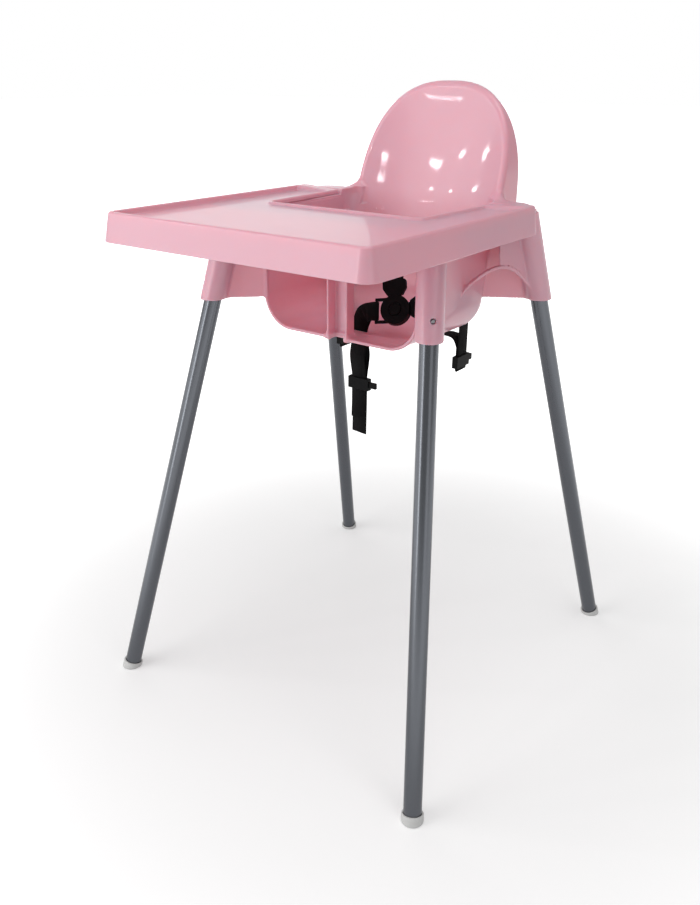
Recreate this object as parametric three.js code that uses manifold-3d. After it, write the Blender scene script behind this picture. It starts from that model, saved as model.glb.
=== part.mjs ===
// A baby high chair: a moulded plastic bucket seat on four splayed steel tube legs,
// with a lift-off tray and a three-point harness.
//
// Millimetres, +Z up. The child faces -Y, and +X is on the right of someone who
// stands in front of the chair. The origin is on the floor, in the middle of the
// chair's width and depth. Everything is laid out in the legs' own frame, where
// Y = 0 is midway between the front and the back feet, and one group moves it.

import * as THREE from 'three';
import { mergeVertices } from 'three/addons/utils/BufferGeometryUtils.js';
import Module from 'manifold-3d';

const wasm = await Module();
wasm.setup();

// ---------------------------------------------------------------- driving sizes

const GAP = 0.3; // between two pieces that touch
const FINEST = 0.02; // detail smaller than this is dropped
const FAR = 1000; // the size of a cutting block that reaches past the whole chair

// Legs: straight round tubes, from a foot cap on the floor into a socket in the seat.
const LEG_RADIUS = 12.5;
const LEG_TUBE_WALL = 1.2;
const LEG_TOP_Z = 712;
const FRONT_FOOT = { x: 277, y: -304 };
const BACK_FOOT = { x: 275.5, y: 304 };

// Foot caps: a cup round the end of the tube, with a plug inside it.
const CAP_WALL = 2.4;
const CAP_CUP_HEIGHT = 3.5;
const CAP_SOLE = 6;
const CAP_PLUG_LENGTH = 16;
const CAP_PLUG_WALL = 2;

// Leg sockets, cut level at their mouths. The points are where each leg's axis
// passes the mouth.
const MOUTH_Z = 605;
const FRONT_MOUTH = { x: 184.5, y: -159 };
const BACK_MOUTH = { x: 194.5, y: 132 };
const SOCKET_MOUTH_RADIUS = 18.2;
const SOCKET_ROOT_RADIUS = 18.7;

// Snap buttons that lock the legs, each on a leaf spring inside its tube.
const BUTTON_RADIUS = 3.2;
const BUTTON_ABOVE_MOUTH = 23;
const BUTTON_CLEARANCE = 0.4;
const BUTTON_HEAD_RADIUS = 4.4;
const BUTTON_HEAD = 1.2;
const BUTTON_INSET = 0.6; // the tip's depth below the socket's surface
const SPRING_LEAF = 0.7;
const SPRING_WIDTH = 8;
const SPRING_LENGTH = 34;
const SPRING_BACK_GAP = 0.9; // from the tube's wall to the spring's back leaf

// Seat shell: a bucket with a rim, moulded in one wall.
const WALL = 2.8;
const RIM_Z = 734;
const RIM_HALF_WIDTH = 190;
const RIM_FRONT_Y = -160;
const RIM_LIP = 21;
const RIM_CORNER = 24;
const SHOULDER_Z = 741.5;
const SHOULDER_Y = 78;
const SHOULDER_BACK_Y = 119;
const SHOULDER_HALF_WIDTH = 191;
const SHOULDER_CORNER = 32;
const BUCKET_HALF_WIDTH = 129; // inside
const BUCKET_FRONT_Y = -104;
const MOUTH_FRONT_Y = -98; // back edge of the bar over the child's thighs
const FLOOR_FRONT_Z = 566.5; // top of the seat's floor at its front edge
const FLOOR_FALL = 0.035; // fall of the floor towards the back, per mm
const FLOOR_FILLET = 44;
const CORNER_FILLET = 28;
const BUCKET_BACK_SLOPE = 0.15; // lean of the bucket's back wall, per mm

// Centre post between the child's legs: a channel, open to the front.
const POST_HALF_WIDTH = 17.6;
const POST_DEPTH = 20;

// Backrest: a dished arch with its edge rolled back into a flange.
const BACK_TOP_Z = 900;
const BACK_HALF_WIDTH = 117;
const BACK_WIDEST_Z = 745;
const BACK_ARCH_POWER = 2.55;
const BACK_EDGE_Y = 115; // the dish's edge at the rim's height
const BACK_LEAN = 0.385; // lean of the dish's edge, per mm
const BACK_DISH = 21; // how much deeper the middle is than the edge
const BACK_ROLL = 12;
const BACK_FLANGE = 2; // the least depth of the flange behind the roll
const BACK_REAR_Y = 171; // the flange's upright back edge
const BACK_FOOT_FILLET = 18;
const BACK_FOOT_DEPTH = 9;

// Webs that tie the sockets to the bucket, and the wings beside the back sockets.
const WING_FRONT_Y = 58;
const WING_RIB = 5;
const ARCH_TOP_Z = 656;
const ARCH_FRONT_Y = 12;
const ARCH_FRONT_Z = 622;

// Tray: a deep skirted tray with two arms that lie on the seat's rim.
const TRAY_WALL = 2.6;
const TRAY_TOP_Z = 744.5;
const TRAY_HEIGHT = 37.5;
const TRAY_FLARE = 7.5;
const TRAY_FRONT_Y = -321.5;
const TRAY_BACK_Y = 75;
const TRAY_FRONT_HALF_WIDTH = 206;
const TRAY_BACK_HALF_WIDTH = 204;
const TRAY_FRONT_CORNER = 12;
const TRAY_BACK_CORNER = 7;
const TRAY_EDGE_ROUND = 2.5;
const TRAY_LIP = 7;
const TRAY_FIELD_DEPTH = 7.3;
const TRAY_INNER_LIP = 6;
const TRAY_INNER_LIP_Z = 741; // top of the lower lip round the opening and over the arms' ends
const TRAY_ARM_BLOCK = 26; // length of the flat pad at the end of each arm
const CUTOUT_FRONT_HALF_WIDTH = 125;
const CUTOUT_BACK_HALF_WIDTH = 132.5;
const CUTOUT_FRONT_Y = -95;
const CUTOUT_CORNER = 12;
const TRAY_TAB = 3;
const TRAY_TAB_WIDTH = 26;
const TRAY_TAB_DROP = 16;
const TRAY_SIDE_TAB_Y = 20;
const TRAY_FRONT_TAB_X = 120;

// Harness webbing and its slots. The crotch strap is doubled round the buckle's bar.
const WEBBING = 1.5;
const CROTCH_WIDTH = 26;
const CROTCH_LAYERS = 1.3; // from the middle of the pair to the middle of each layer
const CROTCH_SPREAD = 7; // the same, where the layers hang apart
const WAIST_WIDTH = 26;
const SLOT_MARGIN = 0.6; // all round the webbing
const CROTCH_SLOT = { x: 2, y: -50 };
const WAIST_SLOT = { x: 110, y: 63 };
const CROTCH_TAIL_FRONT = 51; // how far it hangs below the slider's middle
const CROTCH_TAIL_BACK = 82;
const WAIST_LAYERS = 1.6; // from the middle of the pair to the middle of each layer
const WAIST_TAIL_DROP = 17.5; // below the front of the floor
const WAIST_TAIL_LENGTH = 46; // how far the loose end reaches inwards
// Where each waist strap crosses the seat, with its height above the front of the floor.
const WAIST_ROUTE_LEFT = [
  { x: -106, y: 58, up: 41.5 },
  { x: -66, y: 34, up: 61.5 },
  { x: -10, y: 6, up: 80 },
];
const WAIST_ROUTE_RIGHT = [
  { x: 111, y: 56, up: 39.5 },
  { x: 116, y: 16, up: 48.5 },
];

// Webbing sliders that stop each strap below the seat.
const SLIDER_WALL = 2;
const SLIDER_MARGIN = 5;
const SLIDER_HEIGHT = 18;
const CROTCH_SLIDER_DROP = 82.5; // from the front of the floor to the slider's middle
const WAIST_SLIDER_DROP = 55.5;
const SLIDER_THUMB = 12;
const CROTCH_SLIDER_RUN = 15; // straight webbing below the slider, for it to move along
const WAIST_SLIDER_RUN = 8; // the same, above

// Buckle: a round housing with a centre push button, a bar for the crotch strap and
// two tongues.
const BUCKLE_CENTRE = { x: 60, y: -45, up: 35.5 }; // its height is above the front of the floor
const BUCKLE_NORMAL = { x: 0.25, y: -0.85, z: 0.46 };
const BUCKLE_RADIUS = 21;
const BUCKLE_THICKNESS = 13;
const BUCKLE_BAR_RADIUS = 1.6;
const BUCKLE_BAR_OUT = 7.5; // from the housing's edge to the middle of the bar
const BUCKLE_BAR_CLEARANCE = 0.8;
const BUCKLE_ARM = 4;
const PUSH_RADIUS = 9;
const PUSH_DEPTH = 5;
const PUSH_TRAVEL = 2.5;
const PUSH_PROUD = 1.2;
const LEFT_PORT = 12; // degrees, from the top of the buckle
const RIGHT_PORT = -78;
const CROTCH_PORT = 98;
const TONGUE_WIDTH = 18;
const TONGUE_THICKNESS = 3.2;
const TONGUE_INSERT = 9;
const TONGUE_HANDLE_WIDTH = 34;
const TONGUE_HANDLE_LENGTH = 22;
const TONGUE_HANDLE_THICKNESS = 7;
const TONGUE_STITCH = 7; // how far a strap runs into its tongue

// ---------------------------------------------------------------- materials

function material(color, roughness, metalness = 0) {
  return new THREE.MeshStandardMaterial({ color, roughness, metalness });
}

const pinkPlastic = material(0xe6b0bf, 0.2);
const paintedSteel = material(0x7d7f84, 0.35, 0.5);
const capPlastic = material(0xd6d6d4, 0.5);
const springSteel = material(0x8c8c90, 0.35, 0.9);
const webbing = material(0x121214, 0.85);
const blackPlastic = material(0x161618, 0.45);

// ---------------------------------------------------------------- solids

// A closed three.js geometry as a solid that can be joined and cut.
function solid(geometry) {
  const bare = geometry.clone();
  bare.deleteAttribute('normal');
  bare.deleteAttribute('uv');
  const merged = mergeVertices(bare, 1e-4);
  const mesh = new wasm.Mesh({
    numProp: 3,
    vertProperties: new Float32Array(merged.attributes.position.array),
    triVerts: new Uint32Array(merged.index.array),
  });
  return new wasm.Manifold(mesh);
}

function geometryOf(body) {
  const { vertProperties, triVerts } = body.simplify(FINEST).getMesh();
  const geometry = new THREE.BufferGeometry();
  geometry.setAttribute('position', new THREE.BufferAttribute(vertProperties, 3));
  geometry.setIndex(new THREE.BufferAttribute(triVerts, 1));
  return geometry;
}

function join(...bodies) {
  return bodies.reduce((all, body) => all.add(body));
}

function cut(body, ...tools) {
  return tools.reduce((rest, tool) => rest.subtract(tool), body);
}

// Two triangles for each cell of a grid of point numbers.
function stitch(faces, a, b, c, d) {
  faces.push(a, b, c, a, c, d);
}

function indexed(points, faces) {
  const geometry = new THREE.BufferGeometry();
  const numbers = points.flatMap((p) => [p.x, p.y, p.z]);
  geometry.setAttribute('position', new THREE.Float32BufferAttribute(numbers, 3));
  geometry.setIndex(faces);
  return solid(geometry);
}

// A solid through a stack of loops that turn counter-clockwise seen from the last one.
// Each loop is star-shaped about its middle, where its end cap's fan meets.
function loft(loops) {
  const count = loops[0].length;
  const points = loops.flat();
  const faces = [];
  for (let k = 0; k + 1 < loops.length; k++) {
    for (let i = 0; i < count; i++) {
      const j = (i + 1) % count;
      stitch(faces, k * count + i, k * count + j, (k + 1) * count + j, (k + 1) * count + i);
    }
  }
  const last = (loops.length - 1) * count;
  const middle = (loop) => loop.reduce((sum, p) => sum.add(p), new THREE.Vector3()).divideScalar(count);
  const bottom = points.push(middle(loops[0])) - 1;
  const top = points.push(middle(loops.at(-1))) - 1;
  for (let i = 0; i < count; i++) {
    const j = (i + 1) % count;
    faces.push(bottom, j, i);
    faces.push(top, last + i, last + j);
  }
  return indexed(points, faces);
}

// A wall between two grids of points with the same rows and columns.
function wall(front, back) {
  const rows = front.length;
  const columns = front[0].length;
  const points = [...front.flat(), ...back.flat()];
  const faces = [];
  const at = (side, i, j) => side * rows * columns + i * columns + j;
  for (let i = 0; i + 1 < rows; i++) {
    for (let j = 0; j + 1 < columns; j++) {
      stitch(faces, at(0, i, j), at(0, i, j + 1), at(0, i + 1, j + 1), at(0, i + 1, j));
      stitch(faces, at(1, i, j), at(1, i + 1, j), at(1, i + 1, j + 1), at(1, i, j + 1));
    }
  }
  for (let i = 0; i + 1 < rows; i++) {
    const end = columns - 1;
    stitch(faces, at(0, i, 0), at(0, i + 1, 0), at(1, i + 1, 0), at(1, i, 0));
    stitch(faces, at(0, i, end), at(1, i, end), at(1, i + 1, end), at(0, i + 1, end));
  }
  for (let j = 0; j + 1 < columns; j++) {
    const end = rows - 1;
    stitch(faces, at(0, 0, j), at(1, 0, j), at(1, 0, j + 1), at(0, 0, j + 1));
    stitch(faces, at(0, end, j), at(0, end, j + 1), at(1, end, j + 1), at(1, end, j));
  }
  return indexed(points, faces);
}

// A straight-sided block over a flat outline, from z0 up to z1.
function prism(outline, z0, z1) {
  const shape = new THREE.Shape(outline);
  const geometry = new THREE.ExtrudeGeometry(shape, { depth: z1 - z0, bevelEnabled: false });
  return solid(geometry.translate(0, 0, z0));
}

function block(x0, x1, y0, y1, z0, z1) {
  const geometry = new THREE.BoxGeometry(x1 - x0, y1 - y0, z1 - z0);
  return solid(geometry.translate((x0 + x1) / 2, (y0 + y1) / 2, (z0 + z1) / 2));
}

// A round bar or cone along +Z.
function bar(z0, z1, r0, r1 = r0, sides = 24) {
  const geometry = new THREE.CylinderGeometry(r1, r0, z1 - z0, sides);
  return solid(geometry.rotateX(Math.PI / 2).translate(0, 0, (z0 + z1) / 2));
}

// The same, along +X.
function barX(x0, x1, r0, r1 = r0, sides = 20) {
  const geometry = new THREE.CylinderGeometry(r1, r0, x1 - x0, sides);
  return solid(geometry.rotateZ(-Math.PI / 2).translate((x0 + x1) / 2, 0, 0));
}

function placed(body, matrix) {
  return body.transform(matrix.elements);
}

// Points of an outline whose corners {x, y, r} are rounded with arcs.
function roundedOutline(corners, steps = 5) {
  const points = [];
  corners.forEach((corner, i) => {
    const here = new THREE.Vector2(corner.x, corner.y);
    const before = corners.at(i - 1);
    const after = corners[(i + 1) % corners.length];
    const toBefore = new THREE.Vector2(before.x, before.y).sub(here).normalize();
    const toAfter = new THREE.Vector2(after.x, after.y).sub(here).normalize();
    const half = Math.acos(THREE.MathUtils.clamp(toBefore.dot(toAfter), -1, 1)) / 2;
    const centre = toBefore.clone().add(toAfter).setLength(corner.r / Math.sin(half)).add(here);
    const first = toBefore.multiplyScalar(corner.r / Math.tan(half)).add(here).sub(centre);
    const last = toAfter.multiplyScalar(corner.r / Math.tan(half)).add(here).sub(centre);
    const turn = Math.atan2(first.cross(last), first.dot(last));
    for (let k = 0; k <= steps; k++) {
      points.push(first.clone().rotateAround(new THREE.Vector2(), (turn * k) / steps).add(centre));
    }
  });
  return points;
}

const atHeight = (outline, z) => outline.map((p) => new THREE.Vector3(p.x, p.y, z));

// A flat strap of constant width and thickness. Each station gives a point and the
// direction of the strap's width there.
function strap(stations, width, thickness) {
  const line = new THREE.CatmullRomCurve3(stations.map((s) => s.at));
  const loops = [];
  const steps = (stations.length - 1) * STRAP_STEPS;
  for (let k = 0; k <= steps; k++) {
    const t = k / steps;
    const i = Math.min(Math.floor(k / STRAP_STEPS), stations.length - 2);
    const along = line.getTangent(t);
    const across = stations[i].across.clone().lerp(stations[i + 1].across, k / STRAP_STEPS - i);
    across.addScaledVector(along, -across.dot(along)).normalize().multiplyScalar(width / 2);
    const through = along.clone().cross(across).normalize().multiplyScalar(thickness / 2);
    const middle = line.getPoint(t);
    const corner = (a, b) => middle.clone().addScaledVector(across, a).addScaledVector(through, b);
    loops.push([corner(-1, -1), corner(1, -1), corner(1, 1), corner(-1, 1)]);
  }
  return loft(loops);
}

const STRAP_STEPS = 4;

const point = (x, y, z) => new THREE.Vector3(x, y, z);
const station = (at, across) => ({ at: point(...at), across: point(...across) });

// ---------------------------------------------------------------- legs

// Each leg's own frame: origin where its axis meets the floor, +Z up the tube,
// +X square to the tube and diagonally outwards, which is where its snap button is.
function legFrame(foot, mouth, side) {
  const origin = point(side * foot.x, foot.y, 0);
  const up = point(side * mouth.x, mouth.y, MOUTH_Z).sub(origin).normalize();
  const out = point(side, Math.sign(foot.y), 0).normalize();
  out.addScaledVector(up, -out.dot(up)).normalize();
  return new THREE.Matrix4().makeBasis(out, up.clone().cross(out), up).setPosition(origin);
}

// How far up its own axis a leg reaches a height above the floor.
function alongLeg(frame, height) {
  return height / frame.elements[10];
}

const TUBE_BORE = LEG_RADIUS - LEG_TUBE_WALL;

function leg(frame) {
  const tube = bar(CAP_SOLE + GAP, alongLeg(frame, LEG_TOP_Z), LEG_RADIUS);
  const bore = bar(0, alongLeg(frame, LEG_TOP_Z) + 1, TUBE_BORE);
  const hole = barX(0, LEG_RADIUS * 2, BUTTON_RADIUS + BUTTON_CLEARANCE);
  return cut(tube, bore, hole.translate([0, 0, buttonHeight(frame)]));
}

function buttonHeight(frame) {
  return alongLeg(frame, MOUTH_Z + BUTTON_ABOVE_MOUTH);
}

// The cap's sole is cut level, so it stands flat on the floor under the splayed leg.
function footCap(frame) {
  const outer = LEG_RADIUS + GAP + CAP_WALL;
  const cup = bar(-outer, CAP_SOLE + CAP_CUP_HEIGHT, outer * 1.03, outer);
  const tubeSpace = bar(CAP_SOLE, 60, LEG_RADIUS + GAP);
  const plugHeight = CAP_SOLE + CAP_PLUG_LENGTH;
  const plug = bar(CAP_SOLE / 2, plugHeight, TUBE_BORE - GAP);
  const plugBore = bar(CAP_SOLE, plugHeight + 1, TUBE_BORE - GAP - CAP_PLUG_WALL);
  const cap = placed(join(cut(cup, tubeSpace), cut(plug, plugBore)), frame);
  const size = 3 * outer;
  const under = block(-size, size, -size, size, -size, 0);
  return cut(cap, under.translate([frame.elements[12], frame.elements[13], 0]));
}

// The button's tip lies just inside the socket's surface, and its head just inside
// the tube. Its travel carries the tip in as far as the tube's outside.
const SOCKET_AT_BUTTON = SOCKET_MOUTH_RADIUS;
const BUTTON_TIP = SOCKET_AT_BUTTON - BUTTON_INSET;
const BUTTON_HEAD_TOP = Math.sqrt(TUBE_BORE ** 2 - BUTTON_HEAD_RADIUS ** 2) - GAP;

function snapButton(frame) {
  const shank = barX(BUTTON_HEAD_TOP - BUTTON_HEAD, BUTTON_TIP - 1, BUTTON_RADIUS);
  const tip = barX(BUTTON_TIP - 1, BUTTON_TIP, BUTTON_RADIUS, BUTTON_RADIUS * 0.6);
  const head = barX(BUTTON_HEAD_TOP - BUTTON_HEAD, BUTTON_HEAD_TOP, BUTTON_HEAD_RADIUS);
  return join(shank, tip, head).translate([0, 0, buttonHeight(frame)]);
}

// A V of spring steel, its bend above the button: one leaf behind the button's head,
// the other against the far side of the tube.
function buttonSpring(frame) {
  const front = BUTTON_HEAD_TOP - BUTTON_HEAD - GAP;
  const back = -Math.sqrt(TUBE_BORE ** 2 - (SPRING_WIDTH / 2) ** 2) + SPRING_BACK_GAP - GAP;
  const low = -BUTTON_HEAD_RADIUS - 2;
  const bend = low + SPRING_LENGTH;
  const outline = [
    [front, low], [front, low + 13], [front - 4, bend], [back + 3, bend],
    [back, bend - 5], [back, low], [back + SPRING_LEAF, low], [back + SPRING_LEAF, bend - 5.4],
    [back + 3.3, bend - SPRING_LEAF], [front - 4.5, bend - SPRING_LEAF],
    [front - SPRING_LEAF, low + 12.8], [front - SPRING_LEAF, low],
  ].map(([x, y]) => new THREE.Vector2(x, y));
  const shape = new THREE.Shape(outline);
  const geometry = new THREE.ExtrudeGeometry(shape, { depth: SPRING_WIDTH, bevelEnabled: false });
  geometry.rotateX(Math.PI / 2).translate(0, SPRING_WIDTH / 2, buttonHeight(frame));
  return solid(geometry);
}

// ---------------------------------------------------------------- seat shell

// How far inside (negative) or outside (positive) two faces a point is, with the
// edge between the faces rounded to a radius.
function roundedBoth(a, b, radius) {
  return Math.min(-radius, Math.max(a, b)) + Math.hypot(Math.max(radius + a, 0), Math.max(radius + b, 0));
}

const floorZ = (y) => FLOOR_FRONT_Z - (y - BUCKET_FRONT_Y) * FLOOR_FALL;

// The dish of the backrest's front face at a point, where share is 0 in the middle
// of its base and 1 on the arch's edge.
function backY(z, share) {
  const lean = z > RIM_Z ? BACK_LEAN : BUCKET_BACK_SLOPE;
  return BACK_EDGE_Y + (z - RIM_Z) * lean + BACK_DISH * (1 - share ** 2);
}

// The inside of the bucket, grown by a distance.
function bucketSide(x, y, z, grown) {
  const side = Math.abs(x) - BUCKET_HALF_WIDTH - grown;
  const back = y - backY(Math.min(z, RIM_Z), Math.min(Math.abs(x) / BACK_HALF_WIDTH, 1)) - grown;
  const floor = floorZ(y) - grown - z;
  return roundedBoth(roundedBoth(side, back, CORNER_FILLET), floor, FLOOR_FILLET);
}

// The distance from a point, in a direction, to the bucket's wall.
function reach(from, direction, grown) {
  let near = 0;
  let far = 400;
  for (let k = 0; k < 40; k++) {
    const t = (near + far) / 2;
    const p = direction.clone().multiplyScalar(t).add(from);
    if (bucketSide(p.x, p.y, p.z, grown) > 0) far = t;
    else near = t;
  }
  return direction.clone().multiplyScalar(near).add(from);
}

const BUCKET_AROUND = 44;
const BUCKET_DOWN = 10;
const BUCKET_EYE_Z = 640;
const BUCKET_EYE_Y = -20;

// The bucket as a solid block, with its floor and its walls up to a height. It runs
// on past the front edge, where it is cut.
function bucketBlock(grown, top) {
  const loops = [];
  const azimuths = Array.from({ length: BUCKET_AROUND }, (_, i) => ((i + 0.5) * 2 * Math.PI) / BUCKET_AROUND);
  for (let k = 1; k <= BUCKET_DOWN; k++) {
    const dip = -Math.PI / 2 + (k * Math.PI) / 2 / BUCKET_DOWN;
    loops.push(azimuths.map((a) => {
      const direction = point(Math.sin(a) * Math.cos(dip), -Math.cos(a) * Math.cos(dip), Math.sin(dip));
      return reach(point(0, BUCKET_EYE_Y, BUCKET_EYE_Z), direction, grown);
    }));
  }
  for (const z of [(BUCKET_EYE_Z + top) / 2, top]) {
    const eye = point(0, BUCKET_EYE_Y, z);
    loops.push(azimuths.map((a) => reach(eye, point(Math.sin(a), -Math.cos(a), 0), grown)));
  }
  return loft(loops);
}

function bucket() {
  const shell = cut(bucketBlock(WALL, RIM_Z), bucketBlock(0, RIM_Z + 1));
  return cut(shell, block(-FAR, FAR, -FAR, BUCKET_FRONT_Y, 0, FAR));
}

// The channel between the two leg openings, and the notch in the floor below it.
function post() {
  const front = BUCKET_FRONT_Y;
  const back = BUCKET_FRONT_Y + POST_DEPTH;
  const low = floorZ(front) - WALL;
  const outside = block(-POST_HALF_WIDTH, POST_HALF_WIDTH, front, back, low, RIM_Z);
  const inside = POST_HALF_WIDTH - WALL;
  return cut(outside, block(-inside, inside, front - 1, back - WALL, low - 1, RIM_Z + 1));
}

function postNotch() {
  const inside = POST_HALF_WIDTH - WALL;
  const back = BUCKET_FRONT_Y + POST_DEPTH - WALL;
  return block(-inside, inside, BUCKET_FRONT_Y - 1, back, FLOOR_FRONT_Z - 40, RIM_Z - WALL);
}

function rimOutline(inset) {
  const x = RIM_HALF_WIDTH - inset;
  const front = RIM_FRONT_Y + inset;
  const back = SHOULDER_BACK_Y - inset;
  const r = RIM_CORNER - inset;
  return roundedOutline([
    { x: -x, y: front, r },
    { x, y: front, r },
    { x, y: back, r },
    { x: -x, y: back, r },
  ]);
}

// The flat rim that the tray lies on, with a lip turned down round it and a step up
// to the shoulders behind the tray's arms.
function rim() {
  const plate = prism(rimOutline(0), RIM_Z - RIM_LIP, RIM_Z);
  const under = prism(rimOutline(WALL), RIM_Z - RIM_LIP - 1, RIM_Z - WALL);
  const shoulders = prism(shoulderOutline(0), RIM_Z - RIM_LIP, SHOULDER_Z);
  const shouldersUnder = prism(shoulderOutline(WALL), RIM_Z - RIM_LIP - 1, SHOULDER_Z - WALL);
  const aheadOfMouth = block(-FAR, FAR, -FAR, MOUTH_FRONT_Y, 0, FAR);
  const belowMouth = block(-FAR, FAR, -FAR, FAR, 0, RIM_Z - RIM_LIP - 2);
  const mouth = cut(bucketBlock(0, SHOULDER_Z + 1), aheadOfMouth, belowMouth);
  return cut(join(plate, shoulders), under, shouldersUnder, mouth);
}

function shoulderOutline(inset) {
  const x = SHOULDER_HALF_WIDTH - inset;
  const front = SHOULDER_Y + inset;
  const back = SHOULDER_BACK_Y - inset;
  const small = 5;
  const corners = [{ x: -x, y: front, r: small }, { x, y: front, r: small }];
  const r = SHOULDER_CORNER - inset;
  return roundedOutline([...corners, { x, y: back, r }, { x: -x, y: back, r }]);
}

// The arch of the backrest seen from the front: half-width and height at a turn from
// the right-hand base (0) over the top (half a turn) to the left-hand base (1).
function archPoint(turn) {
  const angle = Math.PI * turn;
  const top = BACK_TOP_Z - BACK_ROLL * 0.9 - BACK_WIDEST_Z;
  const power = 2 / BACK_ARCH_POWER;
  const curve = (v) => Math.sign(v) * Math.abs(v) ** power;
  return { x: BACK_HALF_WIDTH * curve(Math.cos(angle)), z: BACK_WIDEST_Z + top * curve(Math.sin(angle)) };
}

const BACK_AROUND = 26;
const BACK_ACROSS = 5;
const BACK_ROLL_STEPS = 4;
const BACK_BASE_Z = RIM_Z - 12;

function archOutline() {
  const arch = Array.from({ length: BACK_AROUND + 1 }, (_, i) => archPoint(i / BACK_AROUND));
  const foot = (x) => ({ x, z: BACK_BASE_Z });
  return [foot(BACK_HALF_WIDTH), ...arch, foot(-BACK_HALF_WIDTH)];
}

function backrest() {
  const outline = archOutline();
  const dish = (x, z, share) => point(x, backY(Math.max(z, RIM_Z), share), z);
  const rows = outline.map((edge, i) => {
    const before = outline[Math.max(i - 1, 0)];
    const after = outline[Math.min(i + 1, outline.length - 1)];
    const along = dish(after.x, after.z, 1).sub(dish(before.x, before.z, 1)).normalize();
    const row = [];
    for (let k = 0; k <= BACK_ACROSS; k++) {
      const share = 0.04 + (0.96 * k) / BACK_ACROSS;
      row.push(dish(edge.x * share, BACK_BASE_Z + (edge.z - BACK_BASE_Z) * share, share));
    }
    const last = row.at(-1);
    const out = last.clone().sub(row.at(-2)).normalize();
    out.addScaledVector(along, -out.dot(along)).normalize();
    const away = along.clone().cross(out).normalize();
    for (let k = 1; k <= BACK_ROLL_STEPS; k++) {
      const angle = (k * Math.PI) / 2 / BACK_ROLL_STEPS;
      const bend = last.clone().addScaledVector(out, BACK_ROLL * Math.sin(angle));
      row.push(bend.addScaledVector(away, BACK_ROLL * (1 - Math.cos(angle))));
    }
    const end = row.at(-1).clone();
    end.y = Math.max(end.y + BACK_FLANGE, BACK_REAR_Y);
    row.push(end);
    return { row, away, out };
  });
  const front = rows.map(({ row }) => row);
  const back = rows.map(({ row, away, out }) => row.map((p, k) => {
    const bend = THREE.MathUtils.clamp((k - BACK_ACROSS) / BACK_ROLL_STEPS, 0, 1) * (Math.PI / 2);
    const turned = away.clone().multiplyScalar(Math.cos(bend)).addScaledVector(out, -Math.sin(bend));
    return p.clone().addScaledVector(turned, WALL);
  }));
  return wall(front, back);
}

// The fillets where the backrest's edges run out into the shoulders.
function backrestFoot(side) {
  const low = RIM_Z - WALL;
  const outline = [[-BACK_ROLL, low], [BACK_FOOT_FILLET + 4, low], [BACK_FOOT_FILLET, SHOULDER_Z]];
  for (let k = 1; k <= 6; k++) {
    const turn = (k / 6) * (Math.PI / 2);
    const up = BACK_FOOT_FILLET * (1 - Math.cos(turn));
    outline.push([BACK_FOOT_FILLET * (1 - Math.sin(turn)), SHOULDER_Z + up]);
  }
  outline.push([-BACK_ROLL, SHOULDER_Z + BACK_FOOT_FILLET]);
  const geometry = new THREE.ExtrudeGeometry(
    new THREE.Shape(outline.map(([x, z]) => new THREE.Vector2(x, z))),
    { depth: BACK_FOOT_DEPTH, bevelEnabled: false },
  );
  geometry.rotateX(Math.PI / 2);
  geometry.translate(BACK_HALF_WIDTH + BACK_ROLL - 2, BACK_EDGE_Y + 2 + BACK_FOOT_DEPTH, 0);
  const foot = solid(geometry);
  return side > 0 ? foot : foot.mirror([1, 0, 0]);
}

// A socket round the top of a leg, from its level mouth up into the rim.
function socket(frame) {
  const low = alongLeg(frame, MOUTH_Z) - SOCKET_ROOT_RADIUS;
  const high = alongLeg(frame, RIM_Z);
  const grow = (SOCKET_ROOT_RADIUS - SOCKET_MOUTH_RADIUS) / (high - low);
  const cone = bar(low, high, SOCKET_MOUTH_RADIUS - grow * SOCKET_ROOT_RADIUS, SOCKET_ROOT_RADIUS, 28);
  const span = block(-FAR, FAR, -FAR, FAR, MOUTH_Z, RIM_Z - WALL / 2);
  return placed(cone, frame).intersect(span);
}

function socketBore(frame) {
  const radius = LEG_RADIUS + GAP;
  const bore = bar(alongLeg(frame, MOUTH_Z) - 40, alongLeg(frame, LEG_TOP_Z) + GAP, radius, radius, 28);
  const hole = barX(0, 40, BUTTON_RADIUS + BUTTON_CLEARANCE);
  return placed(join(bore, hole.translate([0, 0, buttonHeight(frame)])), frame);
}

// The point on a leg's axis at a height.
function axisPoint(frame, height) {
  return point(0, 0, alongLeg(frame, height)).applyMatrix4(frame);
}

// A flat web from a corner of the bucket to a socket.
function web(frame, corner) {
  const rows = [MOUTH_Z, RIM_Z - WALL / 2].map((z) => {
    const outer = axisPoint(frame, z);
    const inner = point(corner.x, corner.y, z);
    const square = outer.clone().sub(inner).setZ(0).normalize();
    const through = point(-square.y, square.x, 0).multiplyScalar(WALL / 2);
    return {
      front: [inner.clone().sub(through), outer.clone().sub(through)],
      back: [inner.clone().add(through), outer.clone().add(through)],
    };
  });
  return wall(rows.map((r) => r.front), rows.map((r) => r.back));
}

// The wing beside a back socket, and the arched rib that carries its lower edge
// forward to the bucket.
function wing(frame, side) {
  const path = wingPath(frame, side);
  const front = [];
  const back = [];
  for (const { low, high, through } of path) {
    front.push([low.clone().sub(through), high.clone().sub(through)]);
    back.push([low.clone().add(through), high.clone().add(through)]);
  }
  return side > 0 ? wall(back, front) : wall(front, back);
}

const WING_STEPS = 14;

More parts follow.
